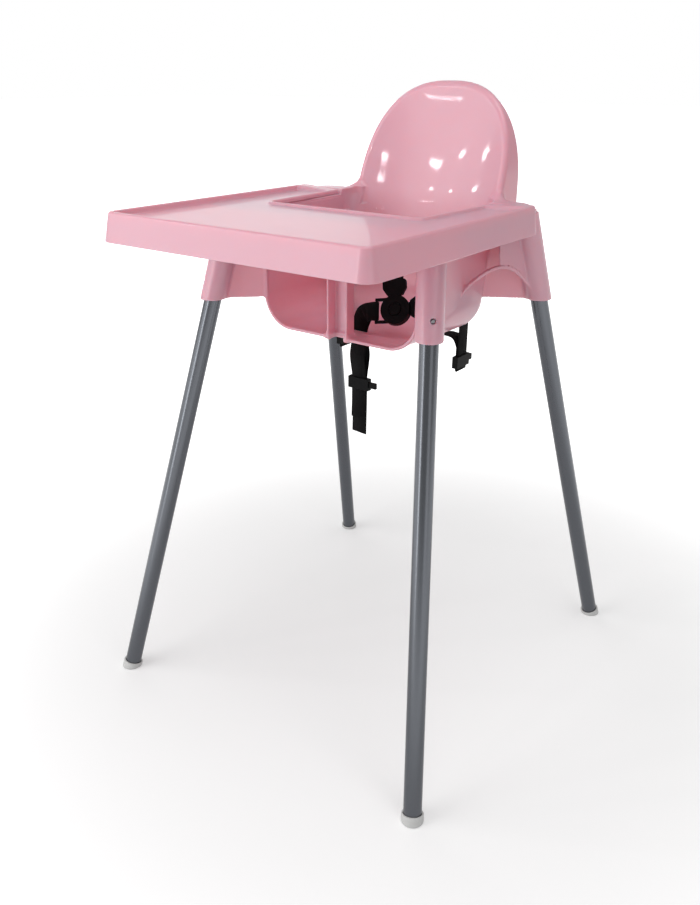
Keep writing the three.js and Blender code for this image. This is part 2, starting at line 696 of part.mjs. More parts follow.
function wingPath(frame, side) {
  const mouth = axisPoint(frame, MOUTH_Z);
  const start = point(side * (BUCKET_HALF_WIDTH + WALL / 2), ARCH_FRONT_Y, 0);
  const shoulder = point(mouth.x * 0.97, (ARCH_FRONT_Y + mouth.y) / 2.1, 0);
  const line = new THREE.QuadraticBezierCurve3(start, shoulder, point(mouth.x, mouth.y, 0));
  const path = [];
  for (let k = 0; k <= WING_STEPS; k++) {
    const t = k / WING_STEPS;
    const at = line.getPoint(t);
    const along = line.getTangent(t);
    const through = point(-along.y, along.x, 0).multiplyScalar((side * WALL) / 2);
    const arch = Math.sin(Math.PI * Math.min(t / 0.9, 1)) ** 0.8;
    const base = THREE.MathUtils.lerp(ARCH_FRONT_Z, MOUTH_Z, Math.min(t / 0.9, 1));
    const low = base + (ARCH_TOP_Z - (ARCH_FRONT_Z + MOUTH_Z) / 2) * arch;
    const high = at.y > WING_FRONT_Y ? RIM_Z - WALL / 2 : low + WING_RIB;
    const lean = (z) => (axisPoint(frame, z).x - mouth.x) * t;
    const leanY = (z) => (axisPoint(frame, z).y - mouth.y) * t ** 3;
    const lift = (z) => point(at.x + lean(z), at.y + leanY(z), z);
    path.push({ low: lift(low), high: lift(high), through });
  }
  return path;
}

// Slots through the floor for the harness.
function slots() {
  const crotchX = CROTCH_WIDTH / 2 + SLOT_MARGIN;
  const crotchY = CROTCH_LAYERS + WEBBING / 2 + SLOT_MARGIN;
  const waistX = WEBBING / 2 + SLOT_MARGIN;
  const waistY = WAIST_WIDTH / 2 + SLOT_MARGIN;
  const { x, y } = CROTCH_SLOT;
  const low = FLOOR_FRONT_Z - 40;
  const crotch = block(x - crotchX, x + crotchX, y - crotchY, y + crotchY, low, FLOOR_FRONT_Z + 20);
  const waist = [-1, 1].map((side) => {
    const at = side * WAIST_SLOT.x;
    const high = FLOOR_FRONT_Z + FLOOR_FILLET;
    return block(at - waistX, at + waistX, WAIST_SLOT.y - waistY, WAIST_SLOT.y + waistY, low, high);
  });
  return join(crotch, ...waist);
}

const BUCKET_FRONT_CORNER = { x: BUCKET_HALF_WIDTH + WALL / 2, y: BUCKET_FRONT_Y + 1.5 };
const BUCKET_BACK_CORNER = { x: BUCKET_HALF_WIDTH - 8, y: 88 };

function seatShell(legs) {
  const parts = [cut(bucket(), postNotch()), post(), rim(), backrest(), backrestFoot(-1), backrestFoot(1)];
  for (const { frame, side, front } of legs) {
    const corner = front ? BUCKET_FRONT_CORNER : BUCKET_BACK_CORNER;
    parts.push(socket(frame), web(frame, { x: side * corner.x, y: corner.y }));
    if (!front) parts.push(wing(frame, side));
  }
  const whole = join(...parts);
  return cut(whole, ...legs.map(({ frame }) => socketBore(frame)), slots());
}

// ---------------------------------------------------------------- tray

// The tray's outer edge, moved in by a distance, with its front and sides flared out
// by another. The sides run out a little to the back.
function trayOutline(inset, flare = 0) {
  const front = TRAY_FRONT_HALF_WIDTH - inset + flare;
  const back = TRAY_BACK_HALF_WIDTH - inset + flare;
  const yFront = TRAY_FRONT_Y + inset - flare;
  const yBack = TRAY_BACK_Y - inset;
  const rFront = Math.max(TRAY_FRONT_CORNER - inset, 3);
  const rBack = Math.max(TRAY_BACK_CORNER - inset, 2);
  return roundedOutline([
    { x: -front, y: yFront, r: rFront }, { x: front, y: yFront, r: rFront },
    { x: back, y: yBack, r: rBack }, { x: -back, y: yBack, r: rBack },
  ]);
}

// The space between the arms, moved out by a distance. It is open to the back.
function cutoutOutline(grown) {
  const front = CUTOUT_FRONT_HALF_WIDTH + grown;
  const back = CUTOUT_BACK_HALF_WIDTH + grown;
  const yFront = CUTOUT_FRONT_Y - grown;
  const r = CUTOUT_CORNER + grown;
  return roundedOutline([
    { x: -front, y: yFront, r }, { x: front, y: yFront, r },
    { x: back, y: TRAY_BACK_Y + 60, r: 1 }, { x: -back, y: TRAY_BACK_Y + 60, r: 1 },
  ]);
}

function tray() {
  const low = TRAY_TOP_Z - TRAY_HEIGHT;
  const plateZ = RIM_Z + GAP;
  const plateFlare = (TRAY_FLARE * (TRAY_TOP_Z - plateZ)) / TRAY_HEIGHT;
  const body = loft([
    atHeight(trayOutline(0, TRAY_FLARE), low),
    atHeight(trayOutline(0), TRAY_TOP_Z - TRAY_EDGE_ROUND),
    atHeight(trayOutline(TRAY_EDGE_ROUND * 0.7), TRAY_TOP_Z),
  ]);
  const under = loft([
    atHeight(trayOutline(TRAY_WALL, TRAY_FLARE), low),
    atHeight(trayOutline(TRAY_WALL, plateFlare), plateZ),
  ]);
  const fieldZ = TRAY_TOP_Z - TRAY_FIELD_DEPTH;
  const armEnd = block(-FAR, FAR, TRAY_BACK_Y - TRAY_ARM_BLOCK, FAR, 0, FAR);
  const innerLip = prism(cutoutOutline(TRAY_INNER_LIP), low, TRAY_TOP_Z + 1);
  const lowered = prism(trayOutline(TRAY_LIP), TRAY_INNER_LIP_Z, TRAY_TOP_Z + 1);
  const inLip = TRAY_BACK_HALF_WIDTH - TRAY_LIP;
  const backOfLip = TRAY_BACK_Y - TRAY_LIP - 3;
  const ends = block(-inLip, inLip, backOfLip, TRAY_BACK_Y + 1, TRAY_INNER_LIP_Z, TRAY_TOP_Z + 1);
  const field = cut(prism(trayOutline(TRAY_LIP), fieldZ, TRAY_TOP_Z + 1), armEnd, innerLip);
  const opening = prism(cutoutOutline(0), low - 1, TRAY_TOP_Z + 1);
  const seatLip = RIM_HALF_WIDTH + GAP;
  const seatNotch = block(-seatLip, seatLip, 0, 2 * TRAY_BACK_Y, low - 1, plateZ);
  const tabs = [-1, 1].flatMap((side) => [sideTab(side), frontTab(side)]);
  return join(cut(body, under, lowered, ends, field, opening, seatNotch), ...tabs);
}

// Tabs under the tray that stand against the seat's lip and keep the tray square.
function sideTab(side) {
  const inner = RIM_HALF_WIDTH + GAP;
  const x = [side * inner, side * (inner + TRAY_TAB)].sort((a, b) => a - b);
  const half = TRAY_TAB_WIDTH / 2;
  return block(...x, TRAY_SIDE_TAB_Y - half, TRAY_SIDE_TAB_Y + half, RIM_Z - TRAY_TAB_DROP, RIM_Z + 1);
}

function frontTab(side) {
  const x = side * TRAY_FRONT_TAB_X;
  const y = RIM_FRONT_Y - GAP;
  const half = TRAY_TAB_WIDTH / 2;
  return block(x - half, x + half, y - TRAY_TAB, y, RIM_Z - TRAY_TAB_DROP, RIM_Z + 1);
}

// ---------------------------------------------------------------- harness

// The buckle's own frame: +Z out of its face, +Y up the face.
function buckleFrame() {
  const face = point(BUCKLE_NORMAL.x, BUCKLE_NORMAL.y, BUCKLE_NORMAL.z).normalize();
  const up = point(0, 0, 1).addScaledVector(face, -face.z).normalize();
  const matrix = new THREE.Matrix4().makeBasis(up.clone().cross(face), up, face);
  return matrix.setPosition(BUCKLE_CENTRE.x, BUCKLE_CENTRE.y, FLOOR_FRONT_Z + BUCKLE_CENTRE.up);
}

// The same, turned about its face so that +Y runs out through one of its ports.
function portFrame(degrees) {
  return buckleFrame().multiply(new THREE.Matrix4().makeRotationZ(THREE.MathUtils.degToRad(degrees)));
}

function portStation(degrees, out, away = 0) {
  const frame = portFrame(degrees);
  return { at: point(0, out, away).applyMatrix4(frame), across: point(-1, 0, 0).transformDirection(frame) };
}

function buckleHousing() {
  const half = BUCKLE_THICKNESS / 2;
  const disc = bar(-half, half, BUCKLE_RADIUS, BUCKLE_RADIUS, 32);
  const well = bar(half - PUSH_DEPTH, half + 1, PUSH_RADIUS + GAP);
  const portHalf = TONGUE_WIDTH / 2 + GAP;
  const portThick = TONGUE_THICKNESS / 2 + GAP;
  const portEnd = BUCKLE_RADIUS - TONGUE_INSERT - GAP;
  const port = block(-portHalf, portHalf, portEnd, BUCKLE_RADIUS + 5, -portThick, portThick);
  const ports = [LEFT_PORT, RIGHT_PORT].map((angle) => port.rotate([0, 0, angle]));
  const inner = CROTCH_WIDTH / 2 + 1;
  const barY = BUCKLE_RADIUS + BUCKLE_BAR_OUT;
  const arms = [-1, 1].map((side) => {
    const x = [side * inner, side * (inner + BUCKLE_ARM)].sort((a, b) => a - b);
    return block(...x, BUCKLE_RADIUS / 3, barY + BUCKLE_BAR_RADIUS, -BUCKLE_ARM / 2, BUCKLE_ARM / 2);
  });
  const strapBar = barX(-inner - 1, inner + 1, BUCKLE_BAR_RADIUS, BUCKLE_BAR_RADIUS, 12);
  const loop = join(...arms, strapBar.translate([0, barY, 0])).rotate([0, 0, CROTCH_PORT]);
  return placed(cut(join(disc, loop), well, ...ports), buckleFrame());
}

function pushButton() {
  const top = BUCKLE_THICKNESS / 2 + PUSH_PROUD;
  const bottom = BUCKLE_THICKNESS / 2 - PUSH_DEPTH + PUSH_TRAVEL + GAP;
  return placed(bar(bottom, top, PUSH_RADIUS, PUSH_RADIUS - 0.8), buckleFrame());
}

// A tongue's blade is in the housing, and its strap is sewn through its handle.
const HANDLE_START = BUCKLE_RADIUS + GAP;
const HANDLE_END = HANDLE_START + TONGUE_HANDLE_LENGTH;

function tongue(degrees) {
  const blade = block(
    -TONGUE_WIDTH / 2, TONGUE_WIDTH / 2, BUCKLE_RADIUS - TONGUE_INSERT, HANDLE_START + 2,
    -TONGUE_THICKNESS / 2, TONGUE_THICKNESS / 2,
  );
  const neck = TONGUE_WIDTH / 2 + 2;
  const half = TONGUE_HANDLE_WIDTH / 2;
  const widest = HANDLE_START + TONGUE_HANDLE_LENGTH * 0.45;
  const outline = roundedOutline([
    { x: -neck, y: HANDLE_START, r: 2 }, { x: neck, y: HANDLE_START, r: 2 }, { x: half, y: widest, r: 4 },
    { x: half, y: HANDLE_END, r: 3 }, { x: -half, y: HANDLE_END, r: 3 }, { x: -half, y: widest, r: 4 },
  ], 3);
  const handle = prism(outline, -TONGUE_HANDLE_THICKNESS / 2, TONGUE_HANDLE_THICKNESS / 2);
  const slotHalf = WAIST_WIDTH / 2 + GAP;
  const slotThick = WEBBING / 2 + GAP;
  const slotStart = HANDLE_END - TONGUE_STITCH - GAP;
  const slot = block(-slotHalf, slotHalf, slotStart, HANDLE_END + 1, -slotThick, slotThick);
  return placed(cut(join(blade, handle), slot), portFrame(degrees));
}

const CROTCH_SLIDER_Z = FLOOR_FRONT_Z - CROTCH_SLIDER_DROP;
const WAIST_SLIDER_Z = FLOOR_FRONT_Z - WAIST_SLIDER_DROP;

// The crotch strap runs up through the slider and the floor, round the buckle's bar
// and back down, so that both of its ends hang below the slider.
function crotchStrap() {
  const { x, y } = CROTCH_SLOT;
  const barY = BUCKLE_RADIUS + BUCKLE_BAR_OUT;
  const roundBar = BUCKLE_BAR_RADIUS + BUCKLE_BAR_CLEARANCE + WEBBING / 2;
  const level = [1, 0, 0];
  const sliderFoot = CROTCH_SLIDER_Z - SLIDER_HEIGHT / 2 - 1;
  const pair = [
    { ...station([x, y, sliderFoot - CROTCH_SLIDER_RUN - 6], level), apart: CROTCH_LAYERS },
    { ...station([x, y, sliderFoot - CROTCH_SLIDER_RUN - 2], level), apart: CROTCH_LAYERS },
    { ...station([x, y, sliderFoot], level), apart: CROTCH_LAYERS },
    { ...station([x, y, CROTCH_SLIDER_Z + SLIDER_HEIGHT / 2 + 1], level), apart: CROTCH_LAYERS },
    { ...station([x, y, (CROTCH_SLIDER_Z + FLOOR_FRONT_Z) / 2 + 3], level), apart: CROTCH_SPREAD },
    { ...station([x, y, FLOOR_FRONT_Z - WALL - 8], level), apart: CROTCH_LAYERS },
    { ...station([x, y, FLOOR_FRONT_Z + 2], level), apart: CROTCH_LAYERS },
    { ...station([x + 8, y - 1, FLOOR_FRONT_Z + 23], [0.75, 0, -0.66]), apart: 2.3 * CROTCH_LAYERS },
    { ...portStation(CROTCH_PORT, barY + 9), apart: CROTCH_LAYERS },
    { ...portStation(CROTCH_PORT, barY), apart: roundBar },
  ];
  const normals = pair.map(({ across }, k) => {
    const along = pair[Math.min(k + 1, pair.length - 1)].at.clone().sub(pair[Math.max(k - 1, 0)].at);
    return along.cross(across).normalize();
  });
  const layer = (sign) => pair.map(({ at, across, apart }, k) => (
    { at: at.clone().addScaledVector(normals[k], sign * apart), across }
  ));
  const turn = portStation(CROTCH_PORT, barY - roundBar);
  return strap([
    station([x + 3, y - 6, CROTCH_SLIDER_Z - CROTCH_TAIL_FRONT], level),
    ...layer(-1),
    turn,
    ...layer(1).reverse(),
    station([x - 4, y + 6, CROTCH_SLIDER_Z - CROTCH_TAIL_BACK], level),
  ], CROTCH_WIDTH, WEBBING);
}

// Each waist strap runs from its tongue over the seat's floor, down through its slot
// and round its slider, and its loose end lies inwards under the seat.
function waistStrap(side, degrees) {
  const x = side * WAIST_SLOT.x;
  const { y } = WAIST_SLOT;
  const upright = [0, side, 0];
  const inner = x - 2 * side * WAIST_LAYERS;
  const sliderTop = WAIST_SLIDER_Z + SLIDER_HEIGHT / 2;
  const sliderFoot = WAIST_SLIDER_Z - SLIDER_HEIGHT / 2;
  const tailZ = FLOOR_FRONT_Z - WAIST_TAIL_DROP;
  return strap([
    station([inner - side * WAIST_TAIL_LENGTH, y, tailZ - 3], upright),
    station([inner - side * WAIST_TAIL_LENGTH * 0.4, y, tailZ], upright),
    station([inner - side * WAIST_TAIL_LENGTH * 0.15, y, tailZ - 3], upright),
    station([inner, y, sliderTop + WAIST_SLIDER_RUN + 5], upright),
    station([inner, y, sliderTop + WAIST_SLIDER_RUN + 2], upright),
    station([inner, y, sliderTop + 1], upright),
    station([inner, y, sliderFoot - 1], upright),
    station([inner, y, sliderFoot - 4], upright),
    station([x - side * WAIST_LAYERS, y, sliderFoot - 4 - WAIST_LAYERS], upright),
    station([x, y, sliderFoot - 4], upright),
    station([x, y, sliderFoot - 1], upright),
    station([x, y, sliderTop + 1], upright),
    station([x, y, FLOOR_FRONT_Z - 12], upright),
    station([x, y, FLOOR_FRONT_Z + 6], upright),
    station([x, y, FLOOR_FRONT_Z + 20], upright),
    ...waistRoute(side, degrees),
    portStation(degrees, HANDLE_END + 5),
    portStation(degrees, HANDLE_END - TONGUE_STITCH),
  ], WAIST_WIDTH, WEBBING);
}

// The loose stretch of each waist strap over the seat's floor. It turns towards its
// port first, and only then twists to lie flat in its tongue.
function waistRoute(side, degrees) {
  const across = side > 0
    ? [[0, 0.9, 0.4], [-0.2, 0, 1], [-0.2, 0, 1]]
    : [[0, -1, -0.2], [0.3, -0.8, -0.3], [-0.35, -0.8, 0.2], [-0.5, -0.75, 0.1]];
  const route = side > 0 ? WAIST_ROUTE_RIGHT : WAIST_ROUTE_LEFT;
  const stations = route.map(({ x, y, up }, k) => station([x, y, FLOOR_FRONT_Z + up], across[k]));
  const turn = portStation(degrees, HANDLE_END + 16);
  return [...stations, { at: turn.at, across: point(...across.at(-1)) }];
}

// A slider's slit takes the webbing, and its thumb rest sticks out at one end.
function slider(width, layers, turn, x, y, z) {
  const inner = { x: width / 2 + GAP, y: layers + WEBBING / 2 + GAP };
  const w = inner.x + SLIDER_MARGIN;
  const t = inner.y + SLIDER_WALL;
  const h = SLIDER_HEIGHT / 2;
  const frame = block(-w, w, -t, t, -h, h);
  const slit = block(-inner.x, inner.x, -inner.y, inner.y, -h - 1, h + 1);
  const thumb = block(w - 1, w + SLIDER_THUMB, -t / 2, t / 2, -h / 2, h / 2);
  return join(cut(frame, slit), thumb).rotate([0, 0, turn]).translate([x, y, z]);
}

// ---------------------------------------------------------------- the chair

const chair = new THREE.Group();
const layout = new THREE.Group();
chair.add(layout);

function add(parent, name, body, finish) {
  const mesh = new THREE.Mesh(geometryOf(body), finish);
  mesh.name = name;
  parent.add(mesh);
}

const legs = [];
for (const [end, foot, mouth] of [['front', FRONT_FOOT, FRONT_MOUTH], ['back', BACK_FOOT, BACK_MOUTH]]) {
  for (const [hand, side] of [['left', -1], ['right', 1]]) {
    legs.push({ name: `${end}_${hand}`, side, front: end === 'front', frame: legFrame(foot, mouth, side) });
  }
}

add(layout, 'seat_shell', seatShell(legs), pinkPlastic);
add(layout, 'tray', tray(), pinkPlastic);

for (const { name, frame } of legs) {
  const group = new THREE.Group();
  group.applyMatrix4(frame);
  layout.add(group);
  add(group, `leg_${name}`, leg(frame), paintedSteel);
  add(group, `snap_button_${name}`, snapButton(frame), springSteel);
  add(group, `button_spring_${name}`, buttonSpring(frame), springSteel);
  add(layout, `foot_cap_${name}`, footCap(frame), capPlastic);
}

add(layout, 'buckle_housing', buckleHousing(), blackPlastic);
add(layout, 'buckle_push_button', pushButton(), blackPlastic);
add(layout, 'buckle_tongue_left', tongue(LEFT_PORT), blackPlastic);
add(layout, 'buckle_tongue_right', tongue(RIGHT_PORT), blackPlastic);
add(layout, 'crotch_strap', crotchStrap(), webbing);
add(layout, 'waist_strap_left', waistStrap(-1, LEFT_PORT), webbing);
add(layout, 'waist_strap_right', waistStrap(1, RIGHT_PORT), webbing);
const { x: crotchX, y: crotchY } = CROTCH_SLOT;
const crotchAt = [crotchX, crotchY, CROTCH_SLIDER_Z];
add(layout, 'crotch_slider', slider(CROTCH_WIDTH, CROTCH_LAYERS, 0, ...crotchAt), blackPlastic);
for (const [hand, side] of [['left', -1], ['right', 1]]) {
  const at = [side * (WAIST_SLOT.x - WAIST_LAYERS), WAIST_SLOT.y, WAIST_SLIDER_Z];
  add(layout, `waist_slider_${hand}`, slider(WAIST_WIDTH, WAIST_LAYERS, 90, ...at), blackPlastic);
}

const extent = new THREE.Box3().setFromObject(layout);
layout.position.y = -(extent.min.y + extent.max.y) / 2;

export default chair;
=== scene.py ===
import math

import bmesh
import bpy
import numpy as np
from mathutils import Matrix, Vector


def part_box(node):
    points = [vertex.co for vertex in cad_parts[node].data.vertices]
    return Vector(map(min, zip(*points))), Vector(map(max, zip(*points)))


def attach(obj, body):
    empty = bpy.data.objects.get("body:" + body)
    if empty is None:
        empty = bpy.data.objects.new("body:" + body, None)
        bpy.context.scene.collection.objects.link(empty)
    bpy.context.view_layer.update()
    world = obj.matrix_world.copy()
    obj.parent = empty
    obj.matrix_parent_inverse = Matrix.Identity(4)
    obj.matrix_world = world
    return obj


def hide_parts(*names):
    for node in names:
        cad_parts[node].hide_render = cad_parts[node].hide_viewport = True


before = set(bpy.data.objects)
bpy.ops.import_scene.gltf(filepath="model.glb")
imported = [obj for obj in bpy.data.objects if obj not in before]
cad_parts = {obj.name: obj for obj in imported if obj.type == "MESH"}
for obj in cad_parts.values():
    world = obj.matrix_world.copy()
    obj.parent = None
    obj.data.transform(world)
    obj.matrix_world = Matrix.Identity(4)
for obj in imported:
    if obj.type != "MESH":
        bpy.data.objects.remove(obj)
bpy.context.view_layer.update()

# ---------------------------------------------------------------- seat shell
# One thick-walled injection moulding in pink polypropylene: a bucket seat with two leg
# openings, a dished backrest with a rolled edge, a rim for the tray, and four sockets
# that the legs push into. Its corners and joins are all softly rounded by the mould.

WALL = 2.8
RIM_Z = 734.0
RIM_FOOT_Z = 713.0
RIM_HALF = 190.0
RIM_FRONT, RIM_BACK = -160.0, 119.0
RIM_CORNER = 24.0
OPENING_REACH = -98.0  # how far forward the seat's opening goes
SHOULDER_Z = 741.5
SHOULDER_HALF = 191.0
SHOULDER_FRONT = 78.0
SHOULDER_CORNER = 32.0
BUCKET_FRONT = -104.0
BUCKET_HALF = 129.0
BUCKET_CORNER = 28.0
FLOOR_Z = 566.5  # at the bucket's front, from where the floor falls towards the back
FLOOR_FALL = 0.035
FLOOR_ROUND = 44.0
POST_HALF = 17.6
POST_BACK = -84.0
# The back wall leans a little up to the rim, and more above it, where it is dished.
BACK_Y = 113.1
LOW_LEAN, MORE_LEAN = 0.15, 0.235
LEAN_BEND = 16.0
DISH_DEPTH = 21.0
BACK_REAR = 173.0
ARCH_HALF = 115.0
ARCH_MIDDLE_Z = 745.0
ARCH_RISE = 142.0
ARCH_POWER = 2.6
ROLL = 12.0
ROLL_ROUND = 10.0
ROLL_FOOT_Z = 714.0
BASE_SWEEP = 18.0
# Half-widths and depths of the feet and of the sockets' mouths.
FEET = {"front": (277.0, -304.0), "back": (275.5, 304.0)}
SOCKETS = {"front": (184.5, -159.0), "back": (194.5, 132.0)}
MOUTH_Z = 605.0
SOCKET_RADIUS = 18.2
SOCKET_BORE = 12.8
SOCKET_DEPTH = 111.5
BUTTON_ABOVE_MOUTH = 23.0
BUTTON_HOLE = 3.6
FRONT_WEB, BACK_WEB = (130.4, -102.5), (121.0, 88.0)
WING_START, WING_BEND = (130.4, 12.0), (188.7, 68.6)
WING_PANEL_FRONT = 56.0
WING_LOW_Z = 622.0
WING_ARCH = 42.5
# The harness's slots: half of each one's length and of its breadth.
SLOT_HALF = 13.6
CROTCH_X, CROTCH_Y, CROTCH_SLOT = 2.0, -50.0, 2.7
WAIST_X, WAIST_Y, WAIST_SLOT = 110.0, 63.0, 1.4

# The moulding is drawn in millimetres with Y = 0 midway between the feet, and the
# tray's front edge says how far forward of the chair's own middle that is.
TRAY_FRONT = -329.0
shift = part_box("tray")[0][1] * 1000 - TRAY_FRONT


def round_max(a, b, r):
    """Where both a and b are negative, with the edge between them rounded."""
    return np.minimum(-r, np.maximum(a, b)) + np.hypot(np.maximum(r + a, 0), np.maximum(r + b, 0))


def round_min(a, b, r):
    return -round_max(-a, -b, r)


def skin(block, wall):
    """The outer wall of a block."""
    return np.abs(block + wall / 2) - wall / 2


def ramp(v):
    v = np.clip(v, 0, 1)
    return v * v * (3 - 2 * v)


def plan_box(x, y, half_x, low_y, high_y, r):
    """Distance in plan from a rectangle with rounded corners."""
    qx = x - half_x + r
    qy = np.abs(y - (low_y + high_y) / 2) - (high_y - low_y) / 2 + r
    outside = np.hypot(np.maximum(qx, 0), np.maximum(qy, 0))
    return outside + np.minimum(np.maximum(qx, qy), 0) - r


def arch(x, z):
    """A point's share of the way to the backrest's arched edge, and its distance past it."""
    across = x / ARCH_HALF + 1e-4
    up = np.maximum(z - ARCH_MIDDLE_Z, 0) / ARCH_RISE
    share = (across ** ARCH_POWER + up ** ARCH_POWER) ** (1 / ARCH_POWER)
    slope_x = (across / share) ** (ARCH_POWER - 1) / ARCH_HALF
    slope_z = (up / share) ** (ARCH_POWER - 1) / ARCH_RISE
    return share, (share - 1) / np.hypot(slope_x, slope_z)


def dish_y(z, share):
    """Depth of the front face of the back wall and of the backrest above it."""
    up = z - RIM_Z
    over = (up + np.hypot(up, LEAN_BEND)) / 2
    return BACK_Y + up * LOW_LEAN + over * MORE_LEAN + DISH_DEPTH * (1 - share * share)


def bucket_inside(x, y, z):
    """Negative inside the bucket, zero on its inner face. The wall leans, so a depth
    counts for a little more than the distance through it."""
    level = np.minimum(z, RIM_Z)
    back = (y - dish_y(level, np.minimum(x / ARCH_HALF, 1))) * 0.97
    sides = round_max(x - BUCKET_HALF, back, BUCKET_CORNER)
    return round_max(sides, FLOOR_Z - (y - BUCKET_FRONT) * FLOOR_FALL - z, FLOOR_ROUND)


def leg_axis(end):
    """Half-width and depth of a leg's axis at its socket's mouth, and their rise with Z."""
    (foot_x, foot_y), (x, y) = FEET[end], SOCKETS[end]
    return x, y, (x - foot_x) / MOUTH_Z, (y - foot_y) / MOUTH_Z


FRONT_AXIS, BACK_AXIS = leg_axis("front"), leg_axis("back")


def axis_at(axis, z):
    return axis[0] + axis[2] * (z - MOUTH_Z), axis[1] + axis[3] * (z - MOUTH_Z)


def from_axis(axis, x, y, z):
    """Distance from a leg's axis, and how far up the axis from the socket's mouth."""
    length = math.sqrt(axis[2] ** 2 + axis[3] ** 2 + 1)
    ux, uy, uz = axis[2] / length, axis[3] / length, 1 / length
    px, py, pz = x - axis[0], y - axis[1], z - MOUTH_Z
    up = px * ux + py * uy + pz * uz
    return np.sqrt(np.maximum(px * px + py * py + pz * pz - up * up, 0)), up


def button_hole(axis, x, y, z):
    """Negative in the hole that a snap button stands in, on the outer side of a socket."""
    lean = Vector((axis[2], axis[3], 1)).normalized()
    aim = Vector((1, math.copysign(1, axis[1]), 0)).normalized()
    aim = (aim - lean * aim.dot(lean)).normalized()
    cx, cy = axis_at(axis, MOUTH_Z + BUTTON_ABOVE_MOUTH)
    px, py, pz = x - cx, y - cy, z - MOUTH_Z - BUTTON_ABOVE_MOUTH
    far = px * aim.x + py * aim.y + pz * aim.z
    off = np.sqrt(np.maximum(px * px + py * py + pz * pz - far * far, 0))
    return np.maximum(off - BUTTON_HOLE, -far)


def plan_segment(x, y, ax, ay, bx, by):
    """Distance in plan from a straight line between two points."""
    dx, dy = bx - ax, by - ay
    t = np.clip(((x - ax) * dx + (y - ay) * dy) / (dx * dx + dy * dy), 0, 1)
    return np.hypot(x - ax - t * dx, y - ay - t * dy)


# The wing beside each back socket follows a bend in plan from the bucket to the socket.
bend = np.linspace(0, 1, 40)
wing_x, wing_y = (
    (1 - bend) ** 2 * start + 2 * bend * (1 - bend) * middle + bend ** 2 * end
    for start, middle, end in zip(WING_START, WING_BEND, BACK_AXIS)
)


def wing(x, y, z):
    t = np.interp(y, wing_y, bend)
    middle = np.interp(y, wing_y, wing_x) + BACK_AXIS[2] * (z - MOUTH_Z) * t
    slope = np.interp(y, wing_y, np.gradient(wing_x, wing_y))
    across = np.abs(x - middle) / np.sqrt(1 + slope * slope)
    along = np.minimum(t / 0.9, 1)
    low = WING_LOW_Z + (MOUTH_Z - WING_LOW_Z) * along + WING_ARCH * np.sin(np.pi * along) ** 0.8
    panel = np.maximum(across - WALL / 2, WING_PANEL_FRONT - y)
    rib = np.maximum(across - WALL * 0.8, z - low - 5)
    both = round_max(np.minimum(panel, rib), low - z, 1.2)
    return np.maximum(np.maximum(both, z - RIM_Z + 2), np.maximum(WING_START[1] - y, y - BACK_AXIS[1]))


